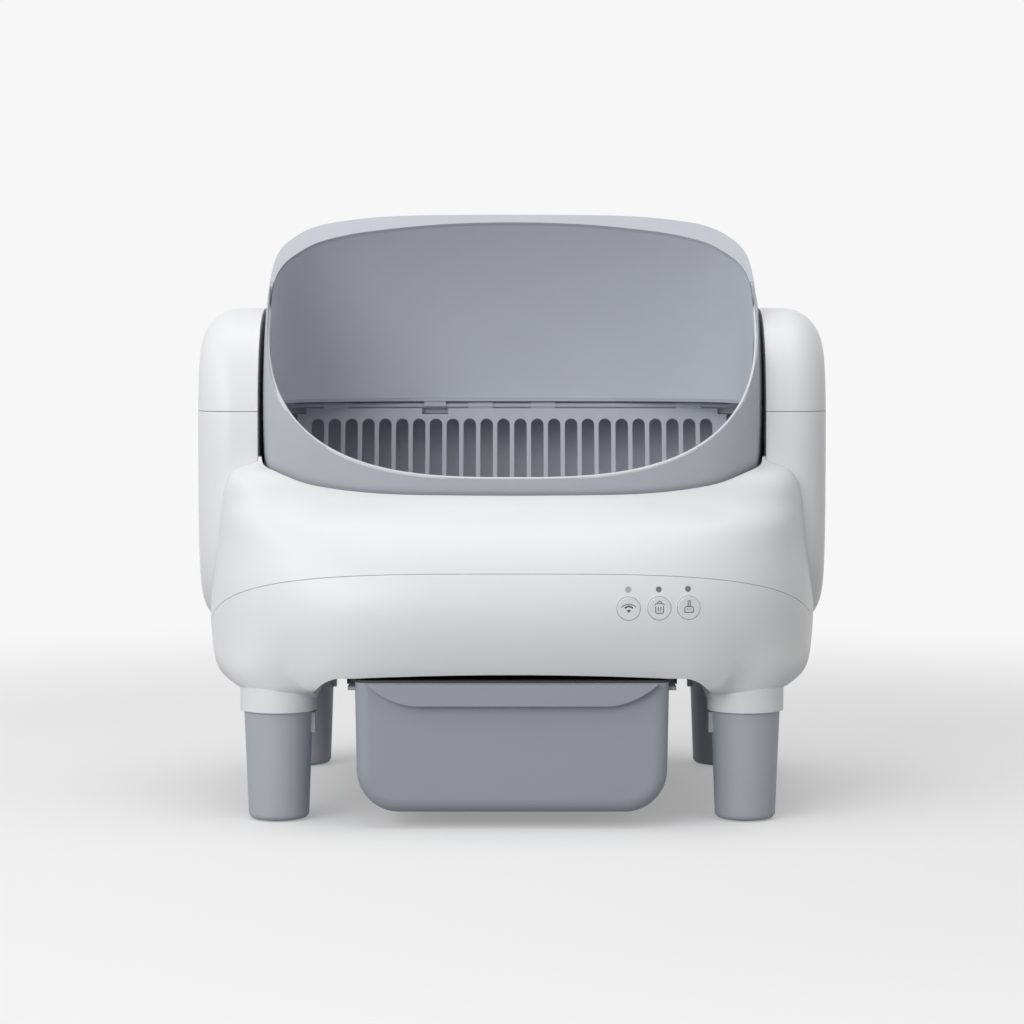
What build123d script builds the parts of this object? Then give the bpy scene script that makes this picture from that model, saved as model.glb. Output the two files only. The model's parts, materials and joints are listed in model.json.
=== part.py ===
from build123d import *
from math import copysign, cos, pi, radians, sin, sqrt, tan
import os

os.makedirs("parts", exist_ok=True)

# Self-cleaning litter box, all lengths in millimetres, angles in degrees.
# Origin on the floor under the middle, X to the right seen from the front, -Y to the front, Z up.

# Walls, gaps and fits that several pieces share
OVERRUN = 30.0
SHELL_WALL = 3.0
SEAM_GAP = 0.4
COVER_GAP = 0.4
RUNNING_CLEARANCE = 0.05
BODY_CLEARANCE = 0.5

# Drum: a barrel on the X axis, over the chute to the bin
UNDERSIDE_Z = 131.0
CHUTE_DEPTH = 47.6
DRUM_RADIUS = 179.4
DRUM_HALF_LENGTH = 224.5
DRUM_WALL = 3.0
DRUM_GAP = 3.5
AXIS_Z = UNDERSIDE_Z + CHUTE_DEPTH + DRUM_RADIUS
# share of the half-length, share of the radius
DRUM_PROFILE_SHARES = (
    (0.0, 1.0),
    (0.27, 0.998),
    (0.5256, 0.988),
    (0.717, 0.960),
    (0.8125, 0.932),
    (0.908, 0.868),
    (0.955, 0.810),
    (0.978, 0.735),
    (0.992, 0.630),
    (1.0, 0.450),
)
RIM_TOP_Y = 15.0
RIM_TILT = 42.0
SCOOP_SIDE = 4.74
SCOOP_HALF_WIDTH = DRUM_HALF_LENGTH - SCOOP_SIDE
SCOOP_DEPTH = 161.0
SCOOP_CENTRE_ABOVE_AXIS = 103.2
SCOOP_EXPONENT = 2.89
SCOOP_POINTS = 25
SCOOP_BACK_Y = -60.0
SPLIT_FRONT_Y = -56.0
SPLIT_TILT = 44.0
BAND_THICKNESS = 4.0

# Base: a bulging body of superellipse sections around the drum
BODY_SIDE_MARGIN = 50.5
BODY_END_MARGIN = 64.6
BODY_TOP_BELOW_AXIS = 40.0
BODY_HALF_WIDTH = DRUM_HALF_LENGTH + BODY_SIDE_MARGIN
BODY_HALF_DEPTH = DRUM_RADIUS + BODY_END_MARGIN
BODY_BOTTOM_Z = 104.0
BODY_HEIGHT = AXIS_Z - BODY_TOP_BELOW_AXIS - BODY_BOTTOM_Z
# share of the height, of the half-width and of the half-depth, then the section's exponent
BODY_SECTION_SHARES = (
    (0.0, 0.829, 0.779, 7.5),
    (0.037, 0.924, 0.869, 7.0),
    (0.079, 0.956, 0.910, 5.6),
    (0.140, 0.978, 0.947, 4.6),
    (0.215, 0.991, 0.975, 3.9),
    (0.308, 1.0, 0.996, 3.5),
    (0.416, 1.0, 1.0, 3.4),
    (0.519, 0.996, 0.9795, 3.4),
    (0.636, 0.987, 0.922, 3.6),
    (0.738, 0.971, 0.824, 4.6),
    (0.822, 0.9545, 0.709, 7.0),
    (0.8925, 0.9345, 0.661, 10.0),
    (0.953, 0.9055, 0.600, 12.0),
    (1.0, 0.873, 0.545, 14.0),
)
BUTTON_SECTION = 6
SECTION_POINTS = 48
SEAM_FRONT_BELOW_AXIS = 132.5
SEAM_FRONT_Z = AXIS_Z - SEAM_FRONT_BELOW_AXIS
SEAM_BEND_Y = -30.0
SEAM_REAR_Z = 140.0
SEAM_BEND_RADIUS = 160.0

# Legs in their sockets, and the load cells over them
LEG_SIDE_INSET = 69.0
LEG_END_INSET = 78.0
LEG_X = BODY_HALF_WIDTH - LEG_SIDE_INSET
LEG_Y = BODY_HALF_DEPTH - LEG_END_INSET
SOCKET_RADIUS = 33.7
SOCKET_BOTTOM_Z = 97.0
SOCKET_TOP_BELOW_SEAM = 6.0
SOCKET_TOP_Z = SEAM_REAR_Z - SOCKET_TOP_BELOW_SEAM
SOCKET_CEILING = 4.0
SOCKET_BORE_TOP_Z = SOCKET_TOP_Z - SOCKET_CEILING
LOAD_CELL_HEIGHT = 8.0
LOAD_CELL_RADIUS = 20.0
SPIGOT_TOP_Z = SOCKET_BORE_TOP_Z - LOAD_CELL_HEIGHT
SPIGOT_RADIUS = 26.0
SPIGOT_GAP = 0.2
LEG_TOP_RADIUS = 30.2
LEG_FOOT_RADIUS = 26.7
LEG_FOOT_ROUND = 5.0
LEG_BOTTOM_Z = 1.0
PAD_RADIUS = 17.0
PAD_HEIGHT = 4.0
TAB_WIDTH = 14.0
TAB_HEIGHT = 18.0
TAB_PROUD = 2.5
TAB_ROOT = 4.0
TAB_TOP_BELOW_SOCKET = 2.0

# Tunnel under the base for the waste bin
TUNNEL_LEG_GAP = 0.3
TUNNEL_HALF_WIDTH = LEG_X - SOCKET_RADIUS - TUNNEL_LEG_GAP
TUNNEL_ROUND = 25.0
UNDERSIDE_ARCH_RISE = 3.6

# Waste bin on its rails
BIN_SIDE_ROOM = 36.0
BIN_HALF_WIDTH = TUNNEL_HALF_WIDTH - BIN_SIDE_ROOM
BIN_DRAFT = 2.0
BIN_BOTTOM_Z = 14.0
BIN_TOP_BELOW_UNDERSIDE = 3.5
BIN_TOP_Z = UNDERSIDE_Z - BIN_TOP_BELOW_UNDERSIDE
BIN_FRONT_SETBACK = 14.0
BIN_FRONT_Y = BIN_FRONT_SETBACK - BODY_HALF_DEPTH
BIN_BACK_Y = 150.0
BIN_CORNER = 37.0
BIN_EDGE_ROUND = 12.0
BIN_WALL = 2.5
BIN_FLANGE = 6.5
BIN_FLANGE_BELOW_RIM = 8.0
BIN_FLANGE_Z = BIN_TOP_Z - BIN_FLANGE_BELOW_RIM
BIN_FLANGE_THICKNESS = 3.0
BIN_FLANGE_FRONT_ROOM = 15.0
BIN_FLANGE_BACK_ROOM = 10.0
BIN_FLANGE_FRONT_Y = BIN_FRONT_Y + BIN_FLANGE_FRONT_ROOM
BIN_FLANGE_BACK_Y = BIN_BACK_Y - BIN_FLANGE_BACK_ROOM
LIP_TOP_INSET = 10.0
LIP_FOOT_INSET = 56.0
LIP_TOP_HALF_WIDTH = BIN_HALF_WIDTH - LIP_TOP_INSET
LIP_FOOT_HALF_WIDTH = BIN_HALF_WIDTH - LIP_FOOT_INSET
LIP_SIDE_PULL = 22.0
LIP_HEIGHT = 19.0
LIP_TOP_BELOW_RIM = 0.5
LIP_PROUD = 8.0
LIP_WALL = 2.5
RAIL_ROOM = 11.0
RAIL_OUTER_X = BIN_HALF_WIDTH + RAIL_ROOM
RAIL_WEB = 3.5
RAIL_LIP = 8.5
RAIL_LIP_THICKNESS = 3.0
RAIL_LIP_GAP = 0.5
FRAME_RIM = 10.0
FRAME_THICKNESS = 2.0
FRAME_SKIRT = 10.0
FRAME_SKIRT_WALL = 2.0
FRAME_GAP = 0.3

# Cradle under the drum, with the chute to the bin
CRADLE_WALL = 2.5
CRADLE_TOP_BELOW_AXIS = 80.0
CRADLE_TOP_Z = AXIS_Z - CRADLE_TOP_BELOW_AXIS
CHUTE_SIDE_ROOM = 24.0
CHUTE_HALF_WIDTH = BIN_HALF_WIDTH - CHUTE_SIDE_ROOM
CHUTE_HALF_DEPTH = 80.0
CHUTE_WALL = 3.0
CRADLE_POST_RADIUS = 7.0
CRADLE_POST_INSET = 22.5
CRADLE_POST_X = DRUM_HALF_LENGTH - CRADLE_POST_INSET
CRADLE_POST_Y = 70.0
BASE_SCREW_LENGTH = 18.0
GASKET_WIDTH = 8.0
GASKET_BOTTOM_BELOW = 0.7

# Back panel: a crowned form turned about its own axis along X
PANEL_AXIS_Y = -196.0
PANEL_AXIS_BELOW = 61.0
PANEL_RADIUS_MORE = 128.6
PANEL_RADIUS = DRUM_RADIUS + PANEL_RADIUS_MORE
PANEL_WALL = 2.5
PANEL_SIDE_GAP = 0.3
PANEL_BOTTOM_ABOVE_AXIS = 5.5
# share of the drum's half-length, share of the panel's radius
PANEL_PROFILE_SHARES = (
    (0.0, 1.0),
    (0.373, 0.9845),
    (0.551, 0.9638),
    (0.6575, 0.9468),
    (0.739, 0.9271),
    (0.812, 0.9011),
    (0.863, 0.8697),
    (0.9176, 0.8256),
    (0.9506, 0.7755),
    (0.9755, 0.670),
    (1.0, 0.500),
)

# Grate, its bar and hinge rod
BAR_END_GAP = 3.0
BAR_HALF_LENGTH = DRUM_HALF_LENGTH - DRUM_WALL - BAR_END_GAP
BAR_DEPTH = 14.0
BAR_BACK_Y = PANEL_AXIS_Y + PANEL_RADIUS
BAR_FLANGE = 3.0
BAR_DROP = 15.0
ROD_SETBACK = 8.5
ROD_Y = BAR_BACK_Y - ROD_SETBACK
ROD_BELOW_AXIS = 1.5
ROD_RADIUS = 2.5
ROD_END_GAP = 2.5
ROD_HALF_LENGTH = BAR_HALF_LENGTH - ROD_END_GAP
BRACKET_INSET = 10.0
BRACKET_INNER_X = BAR_HALF_LENGTH - BRACKET_INSET
BRACKET_WIDTH = 9.5
BRACKET_DROP = 8.5
CLIP_X = -74.0
CLIP_WIDTH = 21.0
CLIP_THICKNESS = 2.0
CLIP_DROP = 5.0
GRATE_LEAN = 16.0
GRATE_SIDE_GAP = 2.0
GRATE_HALF_WIDTH = BRACKET_INNER_X - GRATE_SIDE_GAP
GRATE_TOP_STEP = 8.5
GRATE_TOP_HALF_WIDTH = GRATE_HALF_WIDTH - GRATE_TOP_STEP
GRATE_THICKNESS = 3.0
GRATE_LENGTH = 180.0
GRATE_TOP = 3.2
GRATE_SHOULDER = 9.0
GRATE_WALL_GAP = 1.5
SLOT_COUNT = 24
SLOT_SIDE = 11.62
SLOT_PITCH = 2 * (GRATE_HALF_WIDTH - SLOT_SIDE) / SLOT_COUNT
SLOT_WIDTH = 12.0
SLOT_TOP = 13.5
SLOT_FOOT = 13.0
KNUCKLE_RADIUS = 3.6
KNUCKLE_LENGTH = 24.0
KNUCKLE_WEB = 8.0
# shares of the grate's half-width
KNUCKLE_PLACE_SHARES = (-0.823, -0.145, 0.145, 0.823)
NOTCH_SIDE = 2.0

# Trunnions, bushes and the ring gear
TRUNNION_RADIUS = 40.0
TRUNNION_BORE_RADIUS = 34.0
TRUNNION_FLOOR = 4.0
TRUNNION_LENGTH = 26.0
BUSH_RADIUS = 46.0
BUSH_LENGTH = 9.5
BUSH_FLANGE_RADIUS = 50.0
BUSH_FLANGE = 2.5
TRUNNION_SCREW_CIRCLE = 25.0
TRUNNION_SCREW_COUNT = 4
SCREW_HEAD_RADIUS = 4.0
SCREW_HEAD_HEIGHT = 3.0
SCREW_SHANK_RADIUS = 2.0
GEAR_MODULE = 2.0
RING_TEETH = 60
PINION_TEETH = 15
ADDENDUM_SHARE = 0.8
DEDENDUM_SHARE = 1.25
PRESSURE_ANGLE = 20.0
RING_BACKLASH = 0.35
PINION_BACKLASH = 0.9
GEAR_CENTRE_SLACK = 0.15
GEAR_DISTANCE = GEAR_MODULE * (RING_TEETH + PINION_TEETH) / 2 + GEAR_CENTRE_SLACK
PINION_Z = AXIS_Z - GEAR_DISTANCE
RING_INSET = 11.5
RING_WIDTH = 10.0
PINION_OVERLAP = 1.0
PINION_SHAFT_RADIUS = 4.0
PINION_SHAFT_IN_BOX = 11.0
MAGNET_RADIUS = 3.0
MAGNET_DEPTH = 3.0
MAGNET_CIRCLE = 50.0

# Pods at the two ends of the drum
POD_DRUM_GAP = 2.0
POD_INNER_X = DRUM_HALF_LENGTH + POD_DRUM_GAP
POD_WIDTH = 56.0
POD_OUTER_X = POD_INNER_X + POD_WIDTH
POD_HALF_DEPTH = 128.0
POD_BOTTOM_ABOVE_SEAM = 15.0
POD_BOTTOM_Z = SEAM_REAR_Z + POD_BOTTOM_ABOVE_SEAM
POD_TOP_ABOVE_AXIS = 92.0
POD_TOP_Z = AXIS_Z + POD_TOP_ABOVE_AXIS
POD_EXPONENT = 3.2
POD_POINTS = 40
POD_ROUND = 33.0
POD_WALL = 3.0

# Drive in the right pod, hung from the pinion's height
BRACKET_PLATE = 3.0
BRACKET_HALF_DEPTH = 40.0
BRACKET_BELOW_PINION = 48.0
BRACKET_ABOVE_PINION = 11.0
BRACKET_LOW_Z = PINION_Z - BRACKET_BELOW_PINION
BRACKET_HIGH_Z = PINION_Z + BRACKET_ABOVE_PINION
GEARBOX_INSET = 24.5
GEARBOX_INNER_X = POD_INNER_X + GEARBOX_INSET
GEARBOX_WIDTH = 20.0
GEARBOX_HALF_DEPTH = 34.0
GEARBOX_BELOW_PINION = 31.0
GEARBOX_ABOVE_PINION = 17.0
GEARBOX_LOW_Z = PINION_Z - GEARBOX_BELOW_PINION
GEARBOX_HIGH_Z = PINION_Z + GEARBOX_ABOVE_PINION
GEARBOX_ROUND = 6.0
POST_RADIUS = 4.0
POST_HALF_SPREAD = 26.0
POST_BELOW_PINION = 21.0
POST_ABOVE_PINION = 5.0
POST_LOW_Z = PINION_Z - POST_BELOW_PINION
POST_HIGH_Z = PINION_Z + POST_ABOVE_PINION
MOTOR_RADIUS = 9.5
MOTOR_LENGTH = 62.0
MOTOR_CAP_LENGTH = 6.0
MOTOR_CAP_RADIUS = 5.0

# Boards
BOARD_THICKNESS = 1.6
MAIN_BOARD_HALF_DEPTH = 55.0
MAIN_BOARD_HEIGHT = 112.0
MAIN_BOARD_TOP_BELOW_AXIS = 58.0
STANDOFF_RADIUS = 3.0
STANDOFF_LENGTH = 5.0
STANDOFF_EDGE = 6.0
CHIP_LONG = 30.0
CHIP_SHORT = 18.0
CHIP_TALL = 10.0
CHIP_SPREAD = 26.0
SENSOR_BOARD_DEPTH = 16.0
SENSOR_BOARD_HEIGHT = 20.0
SENSOR_BOARD_Y = -64.0
SENSOR_BOARD_BELOW = 14.0
SENSOR_CHIP = 4.0

# Buttons and indicators on the front
BUTTON_X_PLACES = (100.0, 126.5, 152.0)
BUTTON_NAMES = ("left_button", "middle_button", "right_button")
BUTTON_RADIUS = 10.0
BUTTON_HOLE_GAP = 0.3
BUTTON_PROUD = 0.6
BUTTON_EDGE_ROUND = 0.5
BUTTON_DEPTH = 5.0
BUTTON_FLANGE_RADIUS = 11.5
BUTTON_FLANGE = 1.2
BUTTON_STEM_RADIUS = 2.0
BUTTON_STEM = 2.0
LENS_RISE = 16.0
LENS_RADIUS = 2.4
LENS_GAP = 0.1
LENS_PROUD = 0.2
LENS_LENGTH = 8.0
LENS_SETBACK = 3.0
BUTTON_BOARD_DEPTH = 14.0
BUTTON_BOARD_HALF_WIDTH = 50.0
BUTTON_BOARD_HALF_HEIGHT = 18.0
SWITCH_SIDE = 6.0
SWITCH_TALL = 2.9
BOARD_STANDOFF_HALF_SPREAD = 45.0

# Power inlet at the back
INLET_RADIUS = 6.0
INLET_FLANGE_RADIUS = 8.0
INLET_FLANGE = 1.5
INLET_SEAT = 3.9
INLET_LENGTH = 16.0
INLET_BORE_RADIUS = 3.2
INLET_BORE_DEPTH = 10.0
INLET_PIN_RADIUS = 1.0
INLET_GAP = 0.1

SECTION_PLANE = Plane.XZ
SIDE_PLANE = Plane.YZ
DRUM_PLANE = Plane(origin=(0, 0, AXIS_Z), x_dir=(1, 0, 0), z_dir=(0, -1, 0))
DRUM_AXIS = Axis((0, 0, AXIS_Z), (1, 0, 0))
REACH = BODY_HALF_WIDTH + BODY_HALF_DEPTH
RIM_TOP_Z = AXIS_Z + DRUM_RADIUS
ROD_Z = AXIS_Z - ROD_BELOW_AXIS


def superellipse(half_x, half_y, exponent, count):
    """Points of |x/a|^n + |y/b|^n = 1, spread so that the flat sides and the corners both get enough."""
    spread = sqrt(2 / exponent)
    points = []
    for step in range(count):
        turn = 2 * pi * step / count
        across = copysign(abs(cos(turn)) ** spread, cos(turn))
        along = copysign(abs(sin(turn)) ** spread, sin(turn))
        size = (abs(across) ** exponent + abs(along) ** exponent) ** (1 / exponent)
        points.append((half_x * across / size, half_y * along / size))
    return points


def body_form(inset):
    """The base's bulge, inset all round; its sections are joined by one smooth skin."""
    with BuildPart() as form:
        for height, width, depth, exponent in BODY_SECTION_SHARES:
            level = BODY_BOTTOM_Z + inset + height * (BODY_HEIGHT - 2 * inset)
            half_width = width * (BODY_HALF_WIDTH - inset)
            half_depth = depth * (BODY_HALF_DEPTH - inset)
            with BuildSketch(Plane.XY.offset(level)):
                with BuildLine():
                    Spline(*superellipse(half_width, half_depth, exponent, SECTION_POINTS), periodic=True)
                make_face()
        loft()
    return form.part


def tunnel_form(grow):
    """The way of the waste bin under the base, grown by the wall for the hollow over it."""
    half = TUNNEL_HALF_WIDTH + grow
    edge = UNDERSIDE_Z + grow
    turn = TUNNEL_ROUND
    with BuildPart() as form:
        with BuildSketch(SECTION_PLANE):
            with BuildLine():
                Line((-half, 0), (-half, edge - turn))
                CenterArc((turn - half, edge - turn), turn, 180, -90)
                Line((turn - half, edge), (-BIN_HALF_WIDTH, edge))
                arch_top = (0, edge + UNDERSIDE_ARCH_RISE)
                ThreePointArc((-BIN_HALF_WIDTH, edge), arch_top, (BIN_HALF_WIDTH, edge))
                Line((BIN_HALF_WIDTH, edge), (half - turn, edge))
                CenterArc((half - turn, edge - turn), turn, 90, -90)
                Line((half, edge - turn), (half, 0))
                Line((half, 0), (-half, 0))
            make_face()
        extrude(amount=BODY_HALF_DEPTH + OVERRUN, both=True)
    return form.part


def below_seam(lift):
    """All that is under the base's parting line, which drops from the front to the sides."""
    far = BODY_HALF_DEPTH + OVERRUN
    fall = (SEAM_FRONT_Z - SEAM_REAR_Z) / (BODY_HALF_DEPTH + SEAM_BEND_Y)
    front = (-far, SEAM_FRONT_Z + fall * OVERRUN + lift)
    bend = (SEAM_BEND_Y, SEAM_REAR_Z + lift)
    back = (far, SEAM_REAR_Z + lift)
    with BuildPart() as form:
        with BuildSketch(SIDE_PLANE):
            with BuildLine():
                FilletPolyline(front, bend, back, radius=SEAM_BEND_RADIUS)
                Polyline(back, (far, 0), (-far, 0), front)
            make_face()
        extrude(amount=BODY_HALF_WIDTH + OVERRUN, both=True)
    return form.part


def pod_form(grow):
    """The right pod: a superellipse side outline run along X, its outer edge rounded."""
    centre = (POD_BOTTOM_Z + POD_TOP_Z) / 2
    half_height = (POD_TOP_Z - POD_BOTTOM_Z) / 2 + grow
    outline = superellipse(POD_HALF_DEPTH + grow, half_height, POD_EXPONENT, POD_POINTS)
    with BuildPart() as form:
        with BuildSketch(SIDE_PLANE.offset(POD_INNER_X - grow)):
            with BuildLine():
                Spline(*[(along, centre + up) for along, up in outline], periodic=True)
            make_face()
        extrude(amount=POD_OUTER_X - POD_INNER_X + 2 * grow)
        fillet(form.faces().sort_by(Axis.X)[-1].edges(), radius=POD_ROUND + grow)
    return form.part


def drum_form(grow):
    """The barrel as a turned solid, grown or shrunk all round."""
    radius = DRUM_RADIUS + grow
    half = DRUM_HALF_LENGTH + grow
    right = [(half * along, radius * out) for along, out in DRUM_PROFILE_SHARES]
    left = [(-along, out) for along, out in reversed(right[1:])]
    with BuildPart() as form:
        with BuildSketch(DRUM_PLANE):
            with BuildLine():
                Spline(*(left + right), tangents=((0, 1), (0, -1)))
                Polyline(right[-1], (half, 0), (-half, 0), left[0])
            make_face()
        revolve(axis=DRUM_AXIS)
    return form.part


def drum_radius_at(along):
    """The barrel's outer radius at a place along the axis, straight between the profile's points."""
    place = abs(along) / DRUM_HALF_LENGTH
    for (x0, r0), (x1, r1) in zip(DRUM_PROFILE_SHARES, DRUM_PROFILE_SHARES[1:]):
        if x0 <= place <= x1:
            return DRUM_RADIUS * (r0 + (r1 - r0) * (place - x0) / (x1 - x0))
    return DRUM_RADIUS * DRUM_PROFILE_SHARES[-1][1]


def side_prism(points):
    """A side-view polygon run across the whole width."""
    with BuildPart() as form:
        with BuildSketch(SIDE_PLANE):
            with BuildLine():
                Polyline(*points, close=True)
            make_face()
        extrude(amount=DRUM_HALF_LENGTH + OVERRUN, both=True)
    return form.part


def rim_height(along):
    """Height of the mouth's plane at a place front to back."""
    return RIM_TOP_Z + tan(radians(RIM_TILT)) * (along - RIM_TOP_Y)


def split_height(along):
    """Height of the plane that parts the hood from the bowl."""
    return rim_height(SPLIT_FRONT_Y) - tan(radians(SPLIT_TILT)) * (along - SPLIT_FRONT_Y)


def above_rim(sink):
    """All that is above the mouth's plane, sunk along its normal."""
    drop = sink / cos(radians(RIM_TILT))
    far = DRUM_RADIUS + OVERRUN
    low = (-far, rim_height(-far) - drop)
    high = (far, rim_height(far) - drop)
    return side_prism((low, high, (-far, rim_height(far) - drop)))


def above_split(lift):
    """All that is above the plane between hood and bowl."""
    far = DRUM_RADIUS + OVERRUN
    front = (-far, split_height(-far) + lift)
    back = (far, split_height(far) + lift)
    return side_prism((front, back, (far, split_height(-far) + lift)))


def panel_form(grow):
    """The crowned form whose back is the face of the back panel, turned about the panel's axis."""
    centre_z = AXIS_Z - PANEL_AXIS_BELOW
    half = DRUM_HALF_LENGTH + grow
    right = [(half * along, (PANEL_RADIUS + grow) * out) for along, out in PANEL_PROFILE_SHARES]
    left = [(-along, out) for along, out in reversed(right[1:])]
    with BuildPart() as form:
        with BuildSketch(Plane(origin=(0, PANEL_AXIS_Y, centre_z), x_dir=(1, 0, 0), z_dir=(0, -1, 0))):
            with BuildLine():
                Spline(*(left + right), tangents=((0, 1), (0, -1)))
                Polyline(right[-1], (half, 0), (-half, 0), left[0])
            make_face()
        revolve(axis=Axis((0, PANEL_AXIS_Y, centre_z), (1, 0, 0)))
    return form.part


def gear_outline(teeth, backlash, start):
    """Straight-flanked teeth on a pitch circle, the first one centred at the start angle."""
    pitch_radius = GEAR_MODULE * teeth / 2
    half_tooth = (pi * GEAR_MODULE / 2 - backlash) / 2
    slope = tan(radians(PRESSURE_ANGLE))
    tip = pitch_radius + ADDENDUM_SHARE * GEAR_MODULE
    root = pitch_radius - DEDENDUM_SHARE * GEAR_MODULE
    tip_half = (half_tooth - ADDENDUM_SHARE * GEAR_MODULE * slope) / tip
    root_half = (half_tooth + DEDENDUM_SHARE * GEAR_MODULE * slope) / root
    points = []
    for tooth in range(teeth):
        middle = radians(start) + 2 * pi * tooth / teeth
        for radius, turn in ((root, -root_half), (tip, -tip_half), (tip, tip_half), (root, root_half)):
            points.append((radius * cos(middle + turn), radius * sin(middle + turn)))
    return points


def front_place(across, section, rise, inward):
    """A plane on the base's front skin at a place across, facing out along the skin's normal."""
    height, width, depth, exponent = BODY_SECTION_SHARES[section]
    half_width = width * BODY_HALF_WIDTH
    half_depth = depth * BODY_HALF_DEPTH
    share = across / half_width
    forward = half_depth * (1 - share**exponent) ** (1 / exponent)
    slope_x = share ** (exponent - 1) / half_width
    slope_y = (forward / half_depth) ** (exponent - 1) / half_depth
    size = sqrt(slope_x**2 + slope_y**2)
    normal = (slope_x / size, -slope_y / size)
    level = BODY_BOTTOM_Z + height * BODY_HEIGHT + rise
    origin = (across - inward * normal[0], -forward - inward * normal[1], level)
    return Plane(origin=origin, x_dir=(-normal[1], normal[0], 0), z_dir=(normal[0], normal[1], 0))


# Forms that several pieces are cut from
body_outer = body_form(0)
body_hollow = body_form(SHELL_WALL)
tunnel = tunnel_form(0)
tunnel_roof = tunnel_form(SHELL_WALL)
drum_outer = drum_form(0)
drum_inner = drum_form(-DRUM_WALL)
drum_way = drum_form(DRUM_GAP)
mouth = above_rim(0)
pod_outer = pod_form(0)
pod_inner = pod_form(-POD_WALL)
pod_way = pod_form(COVER_GAP)
button_places = [front_place(across, BUTTON_SECTION, 0, 0) for across in BUTTON_X_PLACES]
lens_places = [front_place(across, BUTTON_SECTION, LENS_RISE, LENS_SETBACK) for across in BUTTON_X_PLACES]
BUTTON_Z = button_places[0].origin.Z

with BuildPart() as base_form:
    add(body_outer)
    with BuildSketch(Plane.XY.offset(SOCKET_BOTTOM_Z)):
        with GridLocations(2 * LEG_X, 2 * LEG_Y, 2, 2):
            Circle(SOCKET_RADIUS)
    extrude(amount=SOCKET_TOP_Z - SOCKET_BOTTOM_Z)
    add(tunnel, mode=Mode.SUBTRACT)

with BuildPart() as base_hollow:
    add(body_hollow)
    add(tunnel_roof, mode=Mode.SUBTRACT)
    with BuildSketch(Plane.XY.offset(SOCKET_BOTTOM_Z)):
        with GridLocations(2 * LEG_X, 2 * LEG_Y, 2, 2):
            Circle(SOCKET_RADIUS)
    extrude(amount=SOCKET_TOP_Z - SOCKET_BOTTOM_Z, mode=Mode.SUBTRACT)

with BuildPart() as base_shell:
    add(base_form.part)
    add(base_hollow.part, mode=Mode.SUBTRACT)
    add(pod_way, mode=Mode.SUBTRACT)
    add(pod_way.mirror(Plane.YZ), mode=Mode.SUBTRACT)

# Base tray: everything under the parting line, with sockets, chute outlet and button holes
with BuildPart() as base_tray:
    add(base_shell.part)
    add(below_seam(-SEAM_GAP / 2), mode=Mode.INTERSECT)
    with BuildSketch(Plane.XY.offset(SOCKET_BOTTOM_Z)):
        with GridLocations(2 * LEG_X, 2 * LEG_Y, 2, 2):
            Circle(SPIGOT_RADIUS + SPIGOT_GAP)
    extrude(amount=SOCKET_BORE_TOP_Z - SOCKET_BOTTOM_Z, mode=Mode.SUBTRACT)
    with BuildSketch(Plane.XY.offset(UNDERSIDE_Z - OVERRUN)):
        Rectangle(2 * CHUTE_HALF_WIDTH, 2 * CHUTE_HALF_DEPTH)
    extrude(amount=2 * OVERRUN, mode=Mode.SUBTRACT)
    with BuildSketch(Plane.XY.offset(BODY_BOTTOM_Z)):
        with GridLocations(2 * CRADLE_POST_X, 2 * CRADLE_POST_Y, 2, 2):
            Circle(SCREW_SHANK_RADIUS)
    extrude(amount=2 * SHELL_WALL, mode=Mode.SUBTRACT)
    for place in button_places:
        with BuildSketch(place):
            Circle(BUTTON_RADIUS + BUTTON_HOLE_GAP)
        extrude(amount=OVERRUN, both=True, mode=Mode.SUBTRACT)
    for place in lens_places:
        with BuildSketch(place):
            Circle(LENS_RADIUS + LENS_GAP)
        extrude(amount=OVERRUN, both=True, mode=Mode.SUBTRACT)
base_tray.part.label = "base_tray"
export_step(base_tray.part, "parts/base_tray.step")

# Base upper shell: the collar around the drum
with BuildPart() as base_upper_shell:
    add(base_shell.part)
    add(below_seam(SEAM_GAP / 2), mode=Mode.SUBTRACT)
    add(drum_way, mode=Mode.SUBTRACT)
    with BuildSketch(Plane(origin=(0, 0, BUTTON_Z), x_dir=(-1, 0, 0), z_dir=(0, 1, 0))):
        Circle(INLET_RADIUS + INLET_GAP)
    extrude(amount=BODY_HALF_DEPTH + OVERRUN, mode=Mode.SUBTRACT)
base_upper_shell.part.label = "base_upper_shell"
export_step(base_upper_shell.part, "parts/base_upper_shell.step")

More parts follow.
